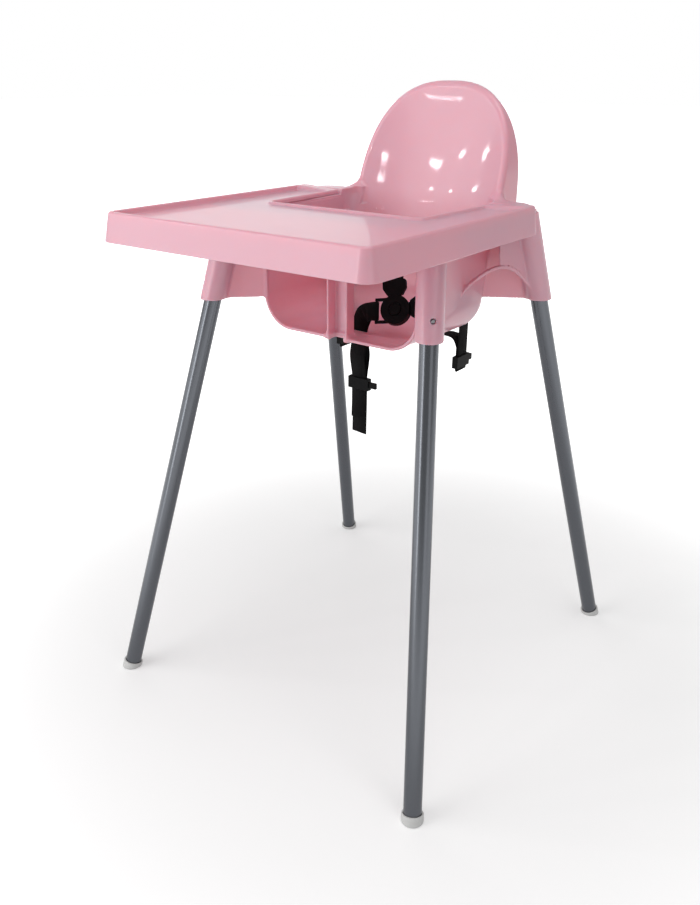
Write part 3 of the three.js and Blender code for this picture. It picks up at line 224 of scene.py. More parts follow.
def seat_field(x0, y, z):
    """Negative inside the seat's plastic: the moulding's walls, joined with fillets."""
    x = np.abs(x0)
    inside = bucket_inside(x, y, z)
    lip = WALL + 1.7 * ramp((BUCKET_FRONT + 9 - y) / 5)
    bucket = np.abs(inside - lip / 2) - lip / 2
    top = RIM_Z - 5 + 10.5 * ramp((y - SHOULDER_FRONT + 2) / 5)
    bucket = np.maximum(round_max(bucket, BUCKET_FRONT - y, 1.5), z - top)
    channel = round_max(x - POST_HALF, y - POST_BACK, 4.0)
    bucket = np.maximum(bucket, -(channel + WALL))
    floor_z = FLOOR_Z - WALL - (y - BUCKET_FRONT) * FLOOR_FALL
    post = round_max(round_max(skin(channel, WALL), BUCKET_FRONT - y, 1.3), floor_z - z, 1.3)
    body = round_min(bucket, np.maximum(post, z - RIM_Z + 5), 9.0)

    tray_rest = plan_box(x, y, RIM_HALF, RIM_FRONT, RIM_BACK, RIM_CORNER)
    tray_rest = round_max(tray_rest, z - RIM_Z, 4.0)
    shoulder = round_max(x - SHOULDER_HALF, y - RIM_BACK, SHOULDER_CORNER)
    shoulder = round_max(round_max(shoulder, SHOULDER_FRONT - y, 4.0), z - SHOULDER_Z, 9.0)
    rim = round_max(skin(round_min(tray_rest, shoulder, 3.0), WALL), RIM_FOOT_Z - z, 1.2)
    mouth = np.maximum(np.maximum(inside, OPENING_REACH - y), RIM_FOOT_Z - 2 - z)
    rim = round_max(rim, -mouth, 3.0)
    body = round_min(body, rim, 5.0)

    for axis, corner in ((FRONT_AXIS, FRONT_WEB), (BACK_AXIS, BACK_WEB)):
        out, up = from_axis(axis, x, y, z)
        socket = round_max(out - SOCKET_RADIUS - up * 0.004, MOUTH_Z - z, 1.5)
        socket = np.maximum(socket, z - RIM_Z + 2)
        web = plan_segment(x, y, *corner, *axis_at(axis, z)) - WALL / 2
        web = np.maximum(round_max(web, MOUTH_Z - z, 1.3), z - RIM_Z + 2)
        body = round_min(body, round_min(socket, web, 4.0), 4.0)
    body = round_min(body, wing(x, y, z), 3.0)

    share, edge = arch(x, z)
    behind = (y - dish_y(z, share)) * 0.93
    rolled = skin(round_max(edge - ROLL, -behind, ROLL_ROUND), WALL)
    rear = np.maximum(BACK_REAR, dish_y(z, 1) + ROLL / 2)
    rolled = np.maximum(round_max(rolled, y - rear, 1.3), ROLL_FOOT_Z - z)
    # Nothing of the bucket or the rim stands before the backrest, down to its foot.
    front = np.maximum(np.maximum(edge, behind - WALL), np.maximum(ROLL_FOOT_Z + 3 - z, -80 - y))
    body = np.maximum(body, -front)
    sweep = 3 + BASE_SWEEP * ramp((edge + 14) / 24) * ramp((z - ROLL_FOOT_Z + 2) / 34)
    body = np.maximum(round_min(body, rolled, sweep), -mouth)

    for axis in (FRONT_AXIS, BACK_AXIS):
        out, up = from_axis(axis, x, y, z)
        body = round_max(body, -np.maximum(out - SOCKET_BORE, up - SOCKET_DEPTH), 0.8)
        body = round_max(body, -button_hole(axis, x, y, z), 0.6)
    crotch = np.maximum(np.abs(x0 - CROTCH_X) - SLOT_HALF, np.abs(y - CROTCH_Y) - CROTCH_SLOT)
    body = round_max(body, -np.maximum(crotch, z - 590), 0.8)
    waist = np.maximum(np.abs(x - WAIST_X) - WAIST_SLOT, np.abs(y - WAIST_Y) - SLOT_HALF)
    return round_max(body, -np.maximum(waist, z - 610), 0.6)


def surface(field, low, high, step):
    """Points and quads of the surface where a field is zero."""
    axes = [np.arange(a, b + step, step, dtype=np.float32) for a, b in zip(low, high)]
    slabs = []
    for x in np.array_split(axes[0], 24):
        slabs.append(field(*np.meshgrid(x, axes[1], axes[2], indexing="ij")).astype(np.float32))
    value = np.concatenate(slabs)
    solid = value < 0
    cut = np.s_[:-1], np.s_[1:]
    corners = [(i, j, k) for i in (0, 1) for j in (0, 1) for k in (0, 1)]
    count = sum(solid[cut[i], cut[j], cut[k]].astype(np.uint8) for i, j, k in corners)
    cells = np.argwhere((count > 0) & (count < 8))
    number = np.full(count.shape, -1, np.int32)
    number[tuple(cells.T)] = np.arange(len(cells))
    total = np.zeros((len(cells), 3))
    hits = np.zeros(len(cells))
    for a in corners:
        for axis in range(3):
            if a[axis]:
                continue
            b = tuple(1 if n == axis else v for n, v in enumerate(a))
            va = value[tuple((cells + a).T)]
            vb = value[tuple((cells + b).T)]
            crossed = (va < 0) != (vb < 0)
            share = np.where(crossed, va / np.where(crossed, va - vb, 1), 0)
            point = np.array(a) + share[:, None] * (np.array(b) - a)
            total += point * crossed[:, None]
            hits += crossed
    points = (cells + total / hits[:, None]) * step + np.array(low)
    quads = []
    for axis in range(3):
        one, two = (axis + 1) % 3, (axis + 2) % 3
        near = [np.s_[:]] * 3
        far = [np.s_[:]] * 3
        near[axis], far[axis] = cut
        changed = np.argwhere(solid[tuple(near)] != solid[tuple(far)])
        keep = (changed[:, one] > 0) & (changed[:, two] > 0)
        keep &= (changed[:, one] < value.shape[one] - 1) & (changed[:, two] < value.shape[two] - 1)
        changed = changed[keep]
        ring = []
        for i, j in ((-1, -1), (0, -1), (0, 0), (-1, 0)):
            cell = changed.copy()
            cell[:, one] += i
            cell[:, two] += j
            ring.append(number[tuple(cell.T)])
        ring = np.stack(ring, axis=1)
        flip = ~solid[tuple(changed.T)]
        ring[flip] = ring[flip][:, ::-1]
        quads.append(ring)
    return points, np.concatenate(quads)


def steepest(field, points):
    """The field's value and its gradient at points."""
    reach = 0.05
    p = points.T
    grad = np.empty_like(points)
    for axis in range(3):
        off = np.zeros((3, 1))
        off[axis] = reach
        grad[:, axis] = (field(*(p + off)) - field(*(p - off))) / (2 * reach)
    return field(*p), grad


def moulding(name, field, low, high, step, most):
    """A mesh of a field's surface, with its points and normals taken from the field."""
    points, quads = surface(field, low, high, step)
    for _ in range(3):
        value, grad = steepest(field, points)
        size = np.maximum((grad ** 2).sum(axis=1), 0.2)
        points -= np.clip(value / size, -step / 2, step / 2)[:, None] * grad
    mesh = bpy.data.meshes.new(name)
    mesh.from_pydata((points / 1000).tolist(), [], quads.tolist())
    piece = bpy.data.objects.new(name, mesh)
    bpy.context.collection.objects.link(piece)
    if len(quads) * 2 > most:
        thin = piece.modifiers.new("thin", "DECIMATE")
        thin.ratio = most / (len(quads) * 2)
        graph = bpy.context.evaluated_depsgraph_get()
        mesh = bpy.data.meshes.new_from_object(piece.evaluated_get(graph))
        piece.modifiers.clear()
        piece.data = mesh
        mesh.name = name
    flat = np.empty(len(mesh.vertices) * 3)
    mesh.vertices.foreach_get("co", flat)
    points = flat.reshape(-1, 3) * 1000
    _, grad = steepest(field, points)
    normals = grad / np.maximum(np.linalg.norm(grad, axis=1), 1e-6)[:, None]
    points[:, 1] += shift
    mesh.vertices.foreach_set("co", (points / 1000).ravel())
    mesh.polygons.foreach_set("use_smooth", [True] * len(mesh.polygons))
    mesh.normals_split_custom_set_from_vertices(normals.tolist())
    mesh.update()
    return piece


def linear(hex_colour):
    """A material colour from its sRGB hex value."""
    parts = [int(hex_colour[i:i + 2], 16) / 255 for i in (1, 3, 5)]
    return [v / 12.92 if v <= 0.04045 else ((v + 0.055) / 1.055) ** 2.4 for v in parts] + [1.0]


def node(tree, kind, settings=None, **links):
    """Adds a node, sets its properties and sockets, and links its inputs."""
    made = tree.nodes.new(kind)
    for key, value in (settings or {}).items():
        if hasattr(made, key):
            setattr(made, key, value)
        else:
            made.inputs[key].default_value = value
    for key, value in links.items():
        tree.links.new(value, made.inputs[key.replace("_", " ")])
    return made


def new_material(name, settings):
    """A material with one Principled shader, and its node tree."""
    made = bpy.data.materials.new(name)
    made.use_nodes = True
    shader = made.node_tree.nodes["Principled BSDF"]
    for key, value in settings.items():
        shader.inputs[key].default_value = value
    return made, made.node_tree, shader


# Injection-moulded polypropylene: waxy, with light passing a short way in, and a thin
# clear gloss on top. The mould's polish leaves a faint ripple that bends reflections.
pink_polypropylene, tree, shader = new_material("pink_polypropylene", {
    "Roughness": 0.42,
    "IOR": 1.49,
    "Specular IOR Level": 0.8,
    "Coat Weight": 0.3,
    "Coat Roughness": 0.05,
    "Subsurface Weight": 0.5,
    "Subsurface Radius": (0.020, 0.005, 0.004),
    "Subsurface Scale": 1.0,
})
place = node(tree, "ShaderNodeTexCoord").outputs["Object"]
# Slow variation over 60 mm in how much pigment shows.
flow = node(tree, "ShaderNodeTexNoise", {"Scale": 16.0, "Detail": 2.0}, Vector=place)
tint = node(tree, "ShaderNodeMix", {"data_type": "RGBA"})
tint.inputs["A"].default_value = linear("#DDA1B1")
tint.inputs["B"].default_value = linear("#E0A6B5")
tree.links.new(flow.outputs["Fac"], tint.inputs["Factor"])
tree.links.new(tint.outputs["Result"], shader.inputs["Base Color"])
# Ripple about 25 mm across and a fraction of a millimetre deep.
ripple = node(tree, "ShaderNodeTexNoise", {"Scale": 40.0, "Detail": 1.0}, Vector=place)
relief = node(tree, "ShaderNodeBump", {"Strength": 0.35, "Distance": 0.001}, Height=ripple.outputs["Fac"])
tree.links.new(relief.outputs["Normal"], shader.inputs["Normal"])

SEAT_LOW, SEAT_HIGH = (-218, -178, 552), (218, 206, 906)
SEAT_STEP = 1.6 * 1.0
MOST_TRIANGLES = 190000
seat = moulding("seat_moulding", seat_field, SEAT_LOW, SEAT_HIGH, SEAT_STEP, MOST_TRIANGLES)
seat.data.materials.append(pink_polypropylene)
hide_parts("seat_shell")
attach(seat, "seat")

# ---------------------------------------------------------------------- tray
# The tray is a second pink moulding: a deep skirt that flares to its foot, a shallow
# well for plates, and two arms round an opening with a lower lip. It lies on the
# seat's rim, where four small tabs keep it in place, and lifts straight off.

TRAY_TOP = 744.5
OPENING_TOP = 741.0
TRAY_FOOT = 707.0
TRAY_BACK = 77.4
TRAY_WALL = 2.6
TRAY_FLARE = 7.5
TRAY_HALF = (206.0, 203.5)
PLATE_UNDER = RIM_Z + 0.3
NOTCH_HALF = 190.3
OPENING_FRONT = -95.0
OPENING_HALF, OPENING_SPLAY = 125.0, 0.0441
FRONT_CORNER, BACK_CORNER = 12.0, 7.0
CORNER_STEPS = 14
# Each tab's place on one half of the tray, and its size in plan.
TABS = ((191.8, 20.0, (3.0, 26.0)), (120.0, -161.8, (26.0, 3.0)))
TAB_HEIGHT = 17.0
# The well's side, step by step: how far in from the tray's edge and how far down from
# its lip, the same from the opening and its lower lip, and how far in from the arm's end.
WELL = (
    (5.0, 0.0, 4.2, 0.0, 20.0), (5.8, 0.15, 4.9, 0.1, 21.0), (6.4, 0.5, 5.5, 0.3, 22.0),
    (6.8, 1.0, 6.0, 0.7, 23.0), (7.1, 1.8, 6.4, 1.2, 24.0), (7.4, 3.3, 6.8, 1.9, 25.0),
    (7.7, 4.8, 7.2, 2.5, 26.0), (8.1, 5.8, 7.7, 3.0, 27.0), (8.8, 6.6, 8.4, 3.4, 28.5),
    (9.7, 7.1, 9.2, 3.7, 30.0), (10.8, 7.3, 10.2, 3.8, 32.0),
)


def rounded_corner(before, corner, after, r):
    """Points of the arc that rounds one corner of a plan outline."""
    corner = Vector(corner)
    one = (Vector(before) - corner).normalized()
    two = (Vector(after) - corner).normalized()
    half = one.angle(two) / 2
    centre = corner + (one + two).normalized() * (r / math.sin(half))
    first = corner + one * (r / math.tan(half)) - centre
    last = corner + two * (r / math.tan(half)) - centre
    turn = math.copysign(math.pi - 2 * half, first.x * last.y - first.y * last.x)
    arc = []
    for k in range(CORNER_STEPS + 1):
        c, s = math.cos(turn * k / CORNER_STEPS), math.sin(turn * k / CORNER_STEPS)
        arc.append(centre + Vector((first.x * c - first.y * s, first.x * s + first.y * c)))
    return arc


def tray_ring(outer, opening, arm_end):
    """One closed ring of the tray, seen from above. Each of its three kinds of side is
    given as (distance in from the top's outline, height)."""
    y_front = TRAY_FRONT + TRAY_FLARE + outer[0]
    y_back = TRAY_BACK - arm_end[0]
    y_open = OPENING_FRONT - opening[0]
    length = TRAY_BACK - TRAY_FRONT - TRAY_FLARE

    def side(y):
        share = (y - TRAY_FRONT - TRAY_FLARE) / length
        return TRAY_HALF[0] + (TRAY_HALF[1] - TRAY_HALF[0]) * share - outer[0]

    def inner(y):
        return OPENING_HALF + (y - OPENING_FRONT) * OPENING_SPLAY + opening[0]

    front = (side(y_front), y_front)
    back = (side(y_back), y_back)
    arm = (inner(y_back), y_back)
    mouth = (inner(y_open), y_open)
    front_round = max(FRONT_CORNER - outer[0], 5)
    back_round = max(BACK_CORNER - outer[0], 2)
    notch = min(NOTCH_HALF, back[0] - back_round - 0.5)
    corners = (
        (rounded_corner((0, y_front), front, back, front_round), outer[1]),
        (rounded_corner(front, back, arm, back_round), outer[1]),
        ([Vector((notch, y_back))], outer[1]),
        ([Vector((notch - 0.4, y_back))], arm_end[1]),
        (rounded_corner(back, arm, mouth, 4.0), opening[1]),
        (rounded_corner(arm, mouth, (0, y_open), FRONT_CORNER + opening[0]), opening[1]),
    )
    half = [(p.x, p.y, z) for points, z in corners for p in points]
    return half + [(-x, y, z) for x, y, z in reversed(half)]


def quarter(r, steps=6):
    """(across, down) round a quarter turn of radius r, from level to upright."""
    for k in range(steps + 1):
        a = math.pi / 2 * k / steps
        yield r * math.sin(a), r * (1 - math.cos(a))


def spread(z):
    """Distance in from the top's outline that the skirt has at a height."""
    return -TRAY_FLARE * (TRAY_TOP - z) / (TRAY_TOP - TRAY_FOOT)


def tray_rings():
    """Rings from the plate's underside, round the skirt's foot, up its outside, over
    the lip, and down to the floor of the well."""
    low, foot, wall, out = PLATE_UNDER, TRAY_FOOT, TRAY_WALL, -TRAY_FLARE
    yield (spread(low) + wall, low), (3.4, low), (wall, low)
    yield (out + wall, foot + 0.8), (2.4, low), (wall, low)
    yield (out + wall - 0.8, foot), (1.4, low), (wall - 0.8, low)
    yield (out + 0.8, foot), (0.4, low + 0.1), (0.8, low)
    yield (out, foot + 0.8), (0, low + 0.8), (0, low + 0.8)
    for t in (0.35, 0.7):
        z = foot + (low - foot) * t
        yield (spread(z), z), (0, low + 0.8 + t), (0, low + 0.8 + t)
    lip, rolled = 3.2, 3.0
    for (up, across), (c_up, c_across) in zip(quarter(lip, 8), quarter(rolled, 8)):
        z = TRAY_TOP - lip + up
        yield (spread(z) + across, z), (c_across, OPENING_TOP - rolled + c_up), (across, z)
    for across, down, inner_across, inner_down, pad in WELL:
        z = TRAY_TOP - down
        yield (across, z), (inner_across, OPENING_TOP - inner_down), (pad, z)


def applied(piece):
    """Replaces a piece's mesh by the one that its modifiers make."""
    graph = bpy.context.evaluated_depsgraph_get()
    data = bpy.data.meshes.new_from_object(piece.evaluated_get(graph))
    piece.modifiers.clear()
    piece.data = data
    data.name = piece.name


def evened(piece):
    """Shades a piece's flat faces flat and its rounded edges round."""
    even = piece.modifiers.new("even", "WEIGHTED_NORMAL")
    even.weight = 90
    even.keep_sharp = True
    applied(piece)


def finished(name, mesh, place, material):
    """Turns a bmesh in millimetres into an object at its place, in metres."""
    bmesh.ops.recalc_face_normals(mesh, faces=mesh.faces)
    mesh.transform(Matrix.Scale(0.001, 4) @ place)
    data = bpy.data.meshes.new(name)
    mesh.to_mesh(data)
    mesh.free()
    data.polygons.foreach_set("use_smooth", [True] * len(data.polygons))
    data.set_sharp_from_angle(angle=math.radians(35))
    data.materials.append(material)
    piece = bpy.data.objects.new(name, data)
    bpy.context.collection.objects.link(piece)
    return piece


tray_mesh = bmesh.new()
rings = [[tray_mesh.verts.new(point) for point in tray_ring(*sides)] for sides in tray_rings()]
for lower, upper in zip(rings, rings[1:]):
    for k in range(len(lower)):
        n = (k + 1) % len(lower)
        tray_mesh.faces.new((lower[k], lower[n], upper[n], upper[k]))
tray_mesh.faces.new(rings[0][::-1])
tray_mesh.faces.new(rings[-1])
bmesh.ops.remove_doubles(tray_mesh, verts=tray_mesh.verts, dist=1e-4)
for side in (-1, 1):
    for x, y, size in TABS:
        place = Matrix.Translation((side * x, y, PLATE_UNDER - TAB_HEIGHT / 2 + 1))
        place = place @ Matrix.Diagonal((*size, TAB_HEIGHT, 1))
        made = bmesh.ops.create_cube(tray_mesh, size=1, matrix=place)
        edges = list({edge for vert in made["verts"] for edge in vert.link_edges})
        bmesh.ops.bevel(tray_mesh, geom=edges, offset=0.8, segments=2, affect="EDGES", profile=0.5)

tray = finished("tray_moulding", tray_mesh, Matrix.Translation((0, shift, 0)), pink_polypropylene)
evened(tray)
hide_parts("tray")
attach(tray, "tray_body")

# ---------------------------------------------------------------------- legs
# Four straight 25 mm steel tubes, cut square, powder coated silver grey. Each is pushed
# up into its socket, and has one hole near its top for the snap button.

LEG_RADIUS = 12.5
LEG_BORE = 11.3
LEG_TOP_Z = 712.0
CAP_SOLE = 6.0


def leg_frame(end, side):
    """A leg's own frame: origin on the floor, +Z up the tube, +X towards its button."""
    foot = Vector((side * FEET[end][0], FEET[end][1] + shift, 0))
    mouth = Vector((side * SOCKETS[end][0], SOCKETS[end][1] + shift, MOUTH_Z))
    up = (mouth - foot).normalized()
    out = Vector((side, math.copysign(1, FEET[end][1]), 0)).normalized()
    out = (out - up * out.dot(up)).normalized()
    across = up.cross(out)
    turn = Matrix((out, across, up)).transposed().to_4x4()
    return Matrix.Translation(foot) @ turn


def turned(mesh, profile, segments):
    """Adds a body turned about Z from a closed outline of (radius, height) points."""
    rings = []
    for r, z in profile:
        if r < 1e-6:
            rings.append([mesh.verts.new((0, 0, z))] * segments)
            continue
        angles = [math.tau * k / segments for k in range(segments)]
        rings.append([mesh.verts.new((r * math.cos(a), r * math.sin(a), z)) for a in angles])
    closed = profile[0][0] > 1e-6 and profile[-1][0] > 1e-6
    pairs = list(zip(rings, rings[1:])) + ([(rings[-1], rings[0])] if closed else [])
    for one, two in pairs:
        for k in range(segments):
            n = (k + 1) % segments
            corners = [one[k], one[n], two[n], two[k]]
            mesh.faces.new(list(dict.fromkeys(corners)))


def cut_by(piece, tool):
    """Cuts a second piece out of the first, and removes it."""
    knife = piece.modifiers.new("cut", "BOOLEAN")
    knife.operation = "DIFFERENCE"
    knife.solver = "EXACT"
    knife.object = tool
    applied(piece)
    bpy.data.objects.remove(tool)


# Powder coat with metal flake: a silver grey with some shine, and a fine orange peel.
powder_coated_steel, tree, shader = new_material("powder_coated_steel", {
    "Metallic": 0.85,
    "Roughness": 0.24,
})
place = node(tree, "ShaderNodeTexCoord").outputs["Object"]
# Orange peel about 1.5 mm across.
peel = node(tree, "ShaderNodeTexNoise", {"Scale": 650.0, "Detail": 2.0}, Vector=place)
relief = node(tree, "ShaderNodeBump", {"Strength": 0.12, "Distance": 0.0002}, Height=peel.outputs["Fac"])
tree.links.new(relief.outputs["Normal"], shader.inputs["Normal"])
# Flake varies the grey a little from place to place.
flake = node(tree, "ShaderNodeTexNoise", {"Scale": 900.0, "Detail": 3.0}, Vector=place)
tint = node(tree, "ShaderNodeMix", {"data_type": "RGBA"})
tint.inputs["A"].default_value = linear("#595B60")
tint.inputs["B"].default_value = linear("#63666B")
tree.links.new(flake.outputs["Fac"], tint.inputs["Factor"])
tree.links.new(tint.outputs["Result"], shader.inputs["Base Color"])

for end in FEET:
    for hand, side in (("left", -1), ("right", 1)):
        own = leg_frame(end, side)
        rise = own.col[2][2]
        top = LEG_TOP_Z / rise
        tube = bmesh.new()
        low = CAP_SOLE + 0.3
        turned(tube, [
            (LEG_BORE, low), (LEG_RADIUS - 0.4, low), (LEG_RADIUS, low + 0.4),
            (LEG_RADIUS, top - 0.4), (LEG_RADIUS - 0.4, top), (LEG_BORE, top),
        ], 64)
        leg = finished(f"leg_tube_{end}_{hand}", tube, own, powder_coated_steel)
        drill = bmesh.new()
        reach = LEG_RADIUS + 7.5
        turned(drill, [(0, 0), (BUTTON_HOLE, 0), (BUTTON_HOLE, reach), (0, reach)], 32)
        height = (MOUTH_Z + BUTTON_ABOVE_MOUTH) / rise
        aim = own @ Matrix.Translation((0, 0, height)) @ Matrix.Rotation(math.pi / 2, 4, "Y")
        cut_by(leg, finished("drill", drill, aim, powder_coated_steel))
        evened(leg)
        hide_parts(f"leg_{end}_{hand}")
        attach(leg, "seat")

# ----------------------------------------------------------------- foot caps
# Grey polyethylene caps: a plug gripped inside each tube and a short cup round its end.
# Each sole is moulded at the leg's own slant, so that it stands flat on the floor.

CUP_TOP = CAP_SOLE + 3.5
CUP_RADIUS = 15.2
PLUG_TOP = CAP_SOLE + 16

# Low-density polyethylene: pale grey, waxy and satin, scuffed dull by the floor.
moulded_polyethylene, tree, shader = new_material("moulded_polyethylene", {
    "Roughness": 0.45,
    "IOR": 1.51,
    "Subsurface Weight": 0.08,
    "Subsurface Radius": (0.003, 0.003, 0.003),
    "Subsurface Scale": 1.0,
})
place = node(tree, "ShaderNodeTexCoord").outputs["Object"]
# Scuffs a few millimetres across.
scuff = node(tree, "ShaderNodeTexNoise", {"Scale": 220.0, "Detail": 4.0}, Vector=place)
tint = node(tree, "ShaderNodeMix", {"data_type": "RGBA"})
tint.inputs["A"].default_value = linear("#C4C4C3")
tint.inputs["B"].default_value = linear("#D2D2D1")
tree.links.new(scuff.outputs["Fac"], tint.inputs["Factor"])
tree.links.new(tint.outputs["Result"], shader.inputs["Base Color"])
relief = node(tree, "ShaderNodeBump", {"Strength": 0.15, "Distance": 0.0003}, Height=scuff.outputs["Fac"])
tree.links.new(relief.outputs["Normal"], shader.inputs["Normal"])

for end in FEET:
    for hand, side in (("left", -1), ("right", 1)):
        cap = bmesh.new()
        plug = LEG_BORE - 0.3
        turned(cap, [
            (0, -CUP_RADIUS), (CUP_RADIUS * 1.03, -CUP_RADIUS), (CUP_RADIUS, CUP_TOP - 1),
            (CUP_RADIUS - 0.3, CUP_TOP - 0.3), (CUP_RADIUS - 1, CUP_TOP),
            (LEG_RADIUS + 0.5, CUP_TOP), (LEG_RADIUS + 0.3, CUP_TOP - 0.2), (LEG_RADIUS + 0.3, CAP_SOLE),
            (plug, CAP_SOLE), (plug, PLUG_TOP - 1), (plug - 1, PLUG_TOP),
            (plug - 2, PLUG_TOP), (plug - 2, CAP_SOLE), (0, CAP_SOLE),
        ], 64)
        place = leg_frame(end, side)
        cap.transform(place)
        cut = bmesh.ops.bisect_plane(
            cap, geom=cap.verts[:] + cap.edges[:] + cap.faces[:], plane_co=(0, 0, 0),
            plane_no=(0, 0, -1), clear_outer=True)
        sole = [e for e in cut["geom_cut"] if isinstance(e, bmesh.types.BMEdge)]
        bmesh.ops.contextual_create(cap, geom=sole)
        sole = [e for e in cap.edges if all(abs(v.co.z) < 1e-4 for v in e.verts)]
        bmesh.ops.bevel(cap, geom=sole, offset=0.8, segments=3, affect="EDGES", profile=0.5)
        foot = finished(f"foot_{end}_{hand}", cap, Matrix.Identity(4), moulded_polyethylene)
        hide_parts(f"foot_cap_{end}_{hand}")
        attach(foot, "seat")

# ------------------------------------------------- snap buttons and their springs
# A steel button stands in each socket's hole, pushed out through the tube by a bent
# spring-steel strip inside it. Both come from the frame as they are.

# Stainless steel pin, ground bright, with the fine rings of turning.
turned_steel, tree, shader = new_material("turned_steel", {"Metallic": 1.0, "Roughness": 0.28})
shader.inputs["Base Color"].default_value = linear("#7C7D80")
place = node(tree, "ShaderNodeTexCoord").outputs["Object"]
grain = node(tree, "ShaderNodeTexNoise", {"Scale": 1800.0, "Detail": 2.0}, Vector=place)
relief = node(tree, "ShaderNodeBump", {"Strength": 0.2, "Distance": 0.0001}, Height=grain.outputs["Fac"])
tree.links.new(relief.outputs["Normal"], shader.inputs["Normal"])

# Blued spring steel: darker, with the straw and blue bloom of tempering.
tempered_spring_steel, tree, shader = new_material("tempered_spring_steel", {
    "Metallic": 1.0,
    "Roughness": 0.38,
})
place = node(tree, "ShaderNodeTexCoord").outputs["Object"]
bloom = node(tree, "ShaderNodeTexNoise", {"Scale": 120.0, "Detail": 2.0}, Vector=place)
tint = node(tree, "ShaderNodeMix", {"data_type": "RGBA"})
tint.inputs["A"].default_value = linear("#5E6470")
tint.inputs["B"].default_value = linear("#7A6E62")
tree.links.new(bloom.outputs["Fac"], tint.inputs["Factor"])
tree.links.new(tint.outputs["Result"], shader.inputs["Base Color"])

for end in FEET:
    for hand in ("left", "right"):
        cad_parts[f"snap_button_{end}_{hand}"].material_slots[0].material = turned_steel
        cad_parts[f"button_spring_{end}_{hand}"].material_slots[0].material = tempered_spring_steel

# ------------------------------------------------------- buckle, tongues, sliders
# The harness's hard parts are black acetal, moulded with a satin spark-eroded face and
# a small radius on every edge: a round housing, its button, two tongues, three sliders.

# Acetal: dense black, a low satin sheen, its fine eroded grain about 0.4 mm across.
moulded_acetal, tree, shader = new_material("moulded_acetal", {
    "Roughness": 0.45,
    "IOR": 1.48,
    "Specular IOR Level": 0.08,
})
place = node(tree, "ShaderNodeTexCoord").outputs["Object"]
grain = node(tree, "ShaderNodeTexNoise", {"Scale": 2400.0, "Detail": 2.0}, Vector=place)
tint = node(tree, "ShaderNodeMix", {"data_type": "RGBA"})
tint.inputs["A"].default_value = linear("#070708")
tint.inputs["B"].default_value = linear("#0C0C0D")
tree.links.new(grain.outputs["Fac"], tint.inputs["Factor"])
tree.links.new(tint.outputs["Result"], shader.inputs["Base Color"])
relief = node(tree, "ShaderNodeBump", {"Strength": 0.25, "Distance": 0.0001}, Height=grain.outputs["Fac"])
tree.links.new(relief.outputs["Normal"], shader.inputs["Normal"])


def eased(name, source, radius):
    """A copy of a frame solid with every sharp edge rounded to a small radius."""
    mesh = bmesh.new()
    mesh.from_mesh(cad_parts[source].data)
    bmesh.ops.remove_doubles(mesh, verts=mesh.verts, dist=1e-5)
    bmesh.ops.dissolve_limit(mesh, angle_limit=math.radians(2), verts=mesh.verts, edges=mesh.edges)
    mesh.transform(Matrix.Scale(1000, 4))
    piece = finished(name, mesh, Matrix.Identity(4), moulded_acetal)
    soft = piece.modifiers.new("ease", "BEVEL")
    soft.width = radius / 1000
    soft.segments = 3
    soft.limit_method = "ANGLE"
    soft.angle_limit = math.radians(40)
    soft.harden_normals = True
    applied(piece)
    return piece


for name, source, body, radius in (
    ("buckle_body", "buckle_housing", "seat", 0.8),
    ("buckle_button", "buckle_push_button", "release", 0.6),
    ("tongue_left", "buckle_tongue_left", "seat", 0.7),
    ("tongue_right", "buckle_tongue_right", "seat", 0.7),
    ("slider_crotch", "crotch_slider", "crotch_adjuster", 0.6),
    ("slider_left", "waist_slider_left", "waist_adjuster_left", 0.6),
    ("slider_right", "waist_slider_right", "waist_adjuster_right", 0.6),
):
    hard = eased(name, source, radius)
    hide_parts(source)
    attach(hard, body)

# ------------------------------------------------------------------- webbing
# The harness is 26 mm black polyester webbing, 1.5 mm thick, woven in ribs across its
# width. The crotch strap is doubled round the buckle's bar; each waist strap goes down
# through its slot, round its slider, and ends loose under the seat.

STRAP_WIDTH = 26.0
STRAP_THICK = 1.5
SLIDER_HALF = 9.0
CROTCH_SLIDER_Z = FLOOR_Z - 82.5
WAIST_SLIDER_Z = FLOOR_Z - 55.5
HANDLE_END = 43.3
RIB_PITCH, CORD_PITCH = 0.0016, 0.0011

# The buckle lies over the seat's floor on the right, its face turned forward and up.
face = Vector((0.25, -0.85, 0.46)).normalized()
up_face = (Vector((0, 0, 1)) - face * face.z).normalized()
buckle_frame = Matrix((up_face.cross(face), up_face, face)).transposed().to_4x4()
buckle_frame = Matrix.Translation((60, -45, FLOOR_Z + 35.5)) @ buckle_frame


def at_port(degrees, out):
    """A point on the line through one of the buckle's ports, and the strap's width there."""
    turn = buckle_frame @ Matrix.Rotation(math.radians(degrees), 4, "Z")
    return turn @ Vector((0, out, 0)), turn.to_3x3() @ Vector((-1, 0, 0))


def smooth_route(stations, steps):
    """Points on a centripetal curve through stations, with the strap's width at each."""
    points = [Vector(p) for p, _ in stations]
    widths = [Vector(w) for _, w in stations]
    ends = [points[0] * 2 - points[1]] + points + [points[-1] * 2 - points[-2]]
    route = []
    for k in range(len(points) - 1):
        p0, p1, p2, p3 = ends[k:k + 4]
        d0, d1, d2 = ((b - a).length ** 0.5 for a, b in ((p0, p1), (p1, p2), (p2, p3)))
        t1 = ((p1 - p0) / d0 - (p2 - p0) / (d0 + d1) + (p2 - p1) / d1) * d1
        t2 = ((p2 - p1) / d1 - (p3 - p1) / (d1 + d2) + (p3 - p2) / d2) * d1
        for n in range(steps + (k == len(points) - 2)):
            t = n / steps
            rise = p1 + t1 * t + (p2 * 3 - p1 * 3 - t1 * 2 - t2) * t * t
            rise += (p1 * 2 - p2 * 2 + t1 + t2) * t ** 3
            route.append((rise, widths[k].lerp(widths[k + 1], t)))
    return route


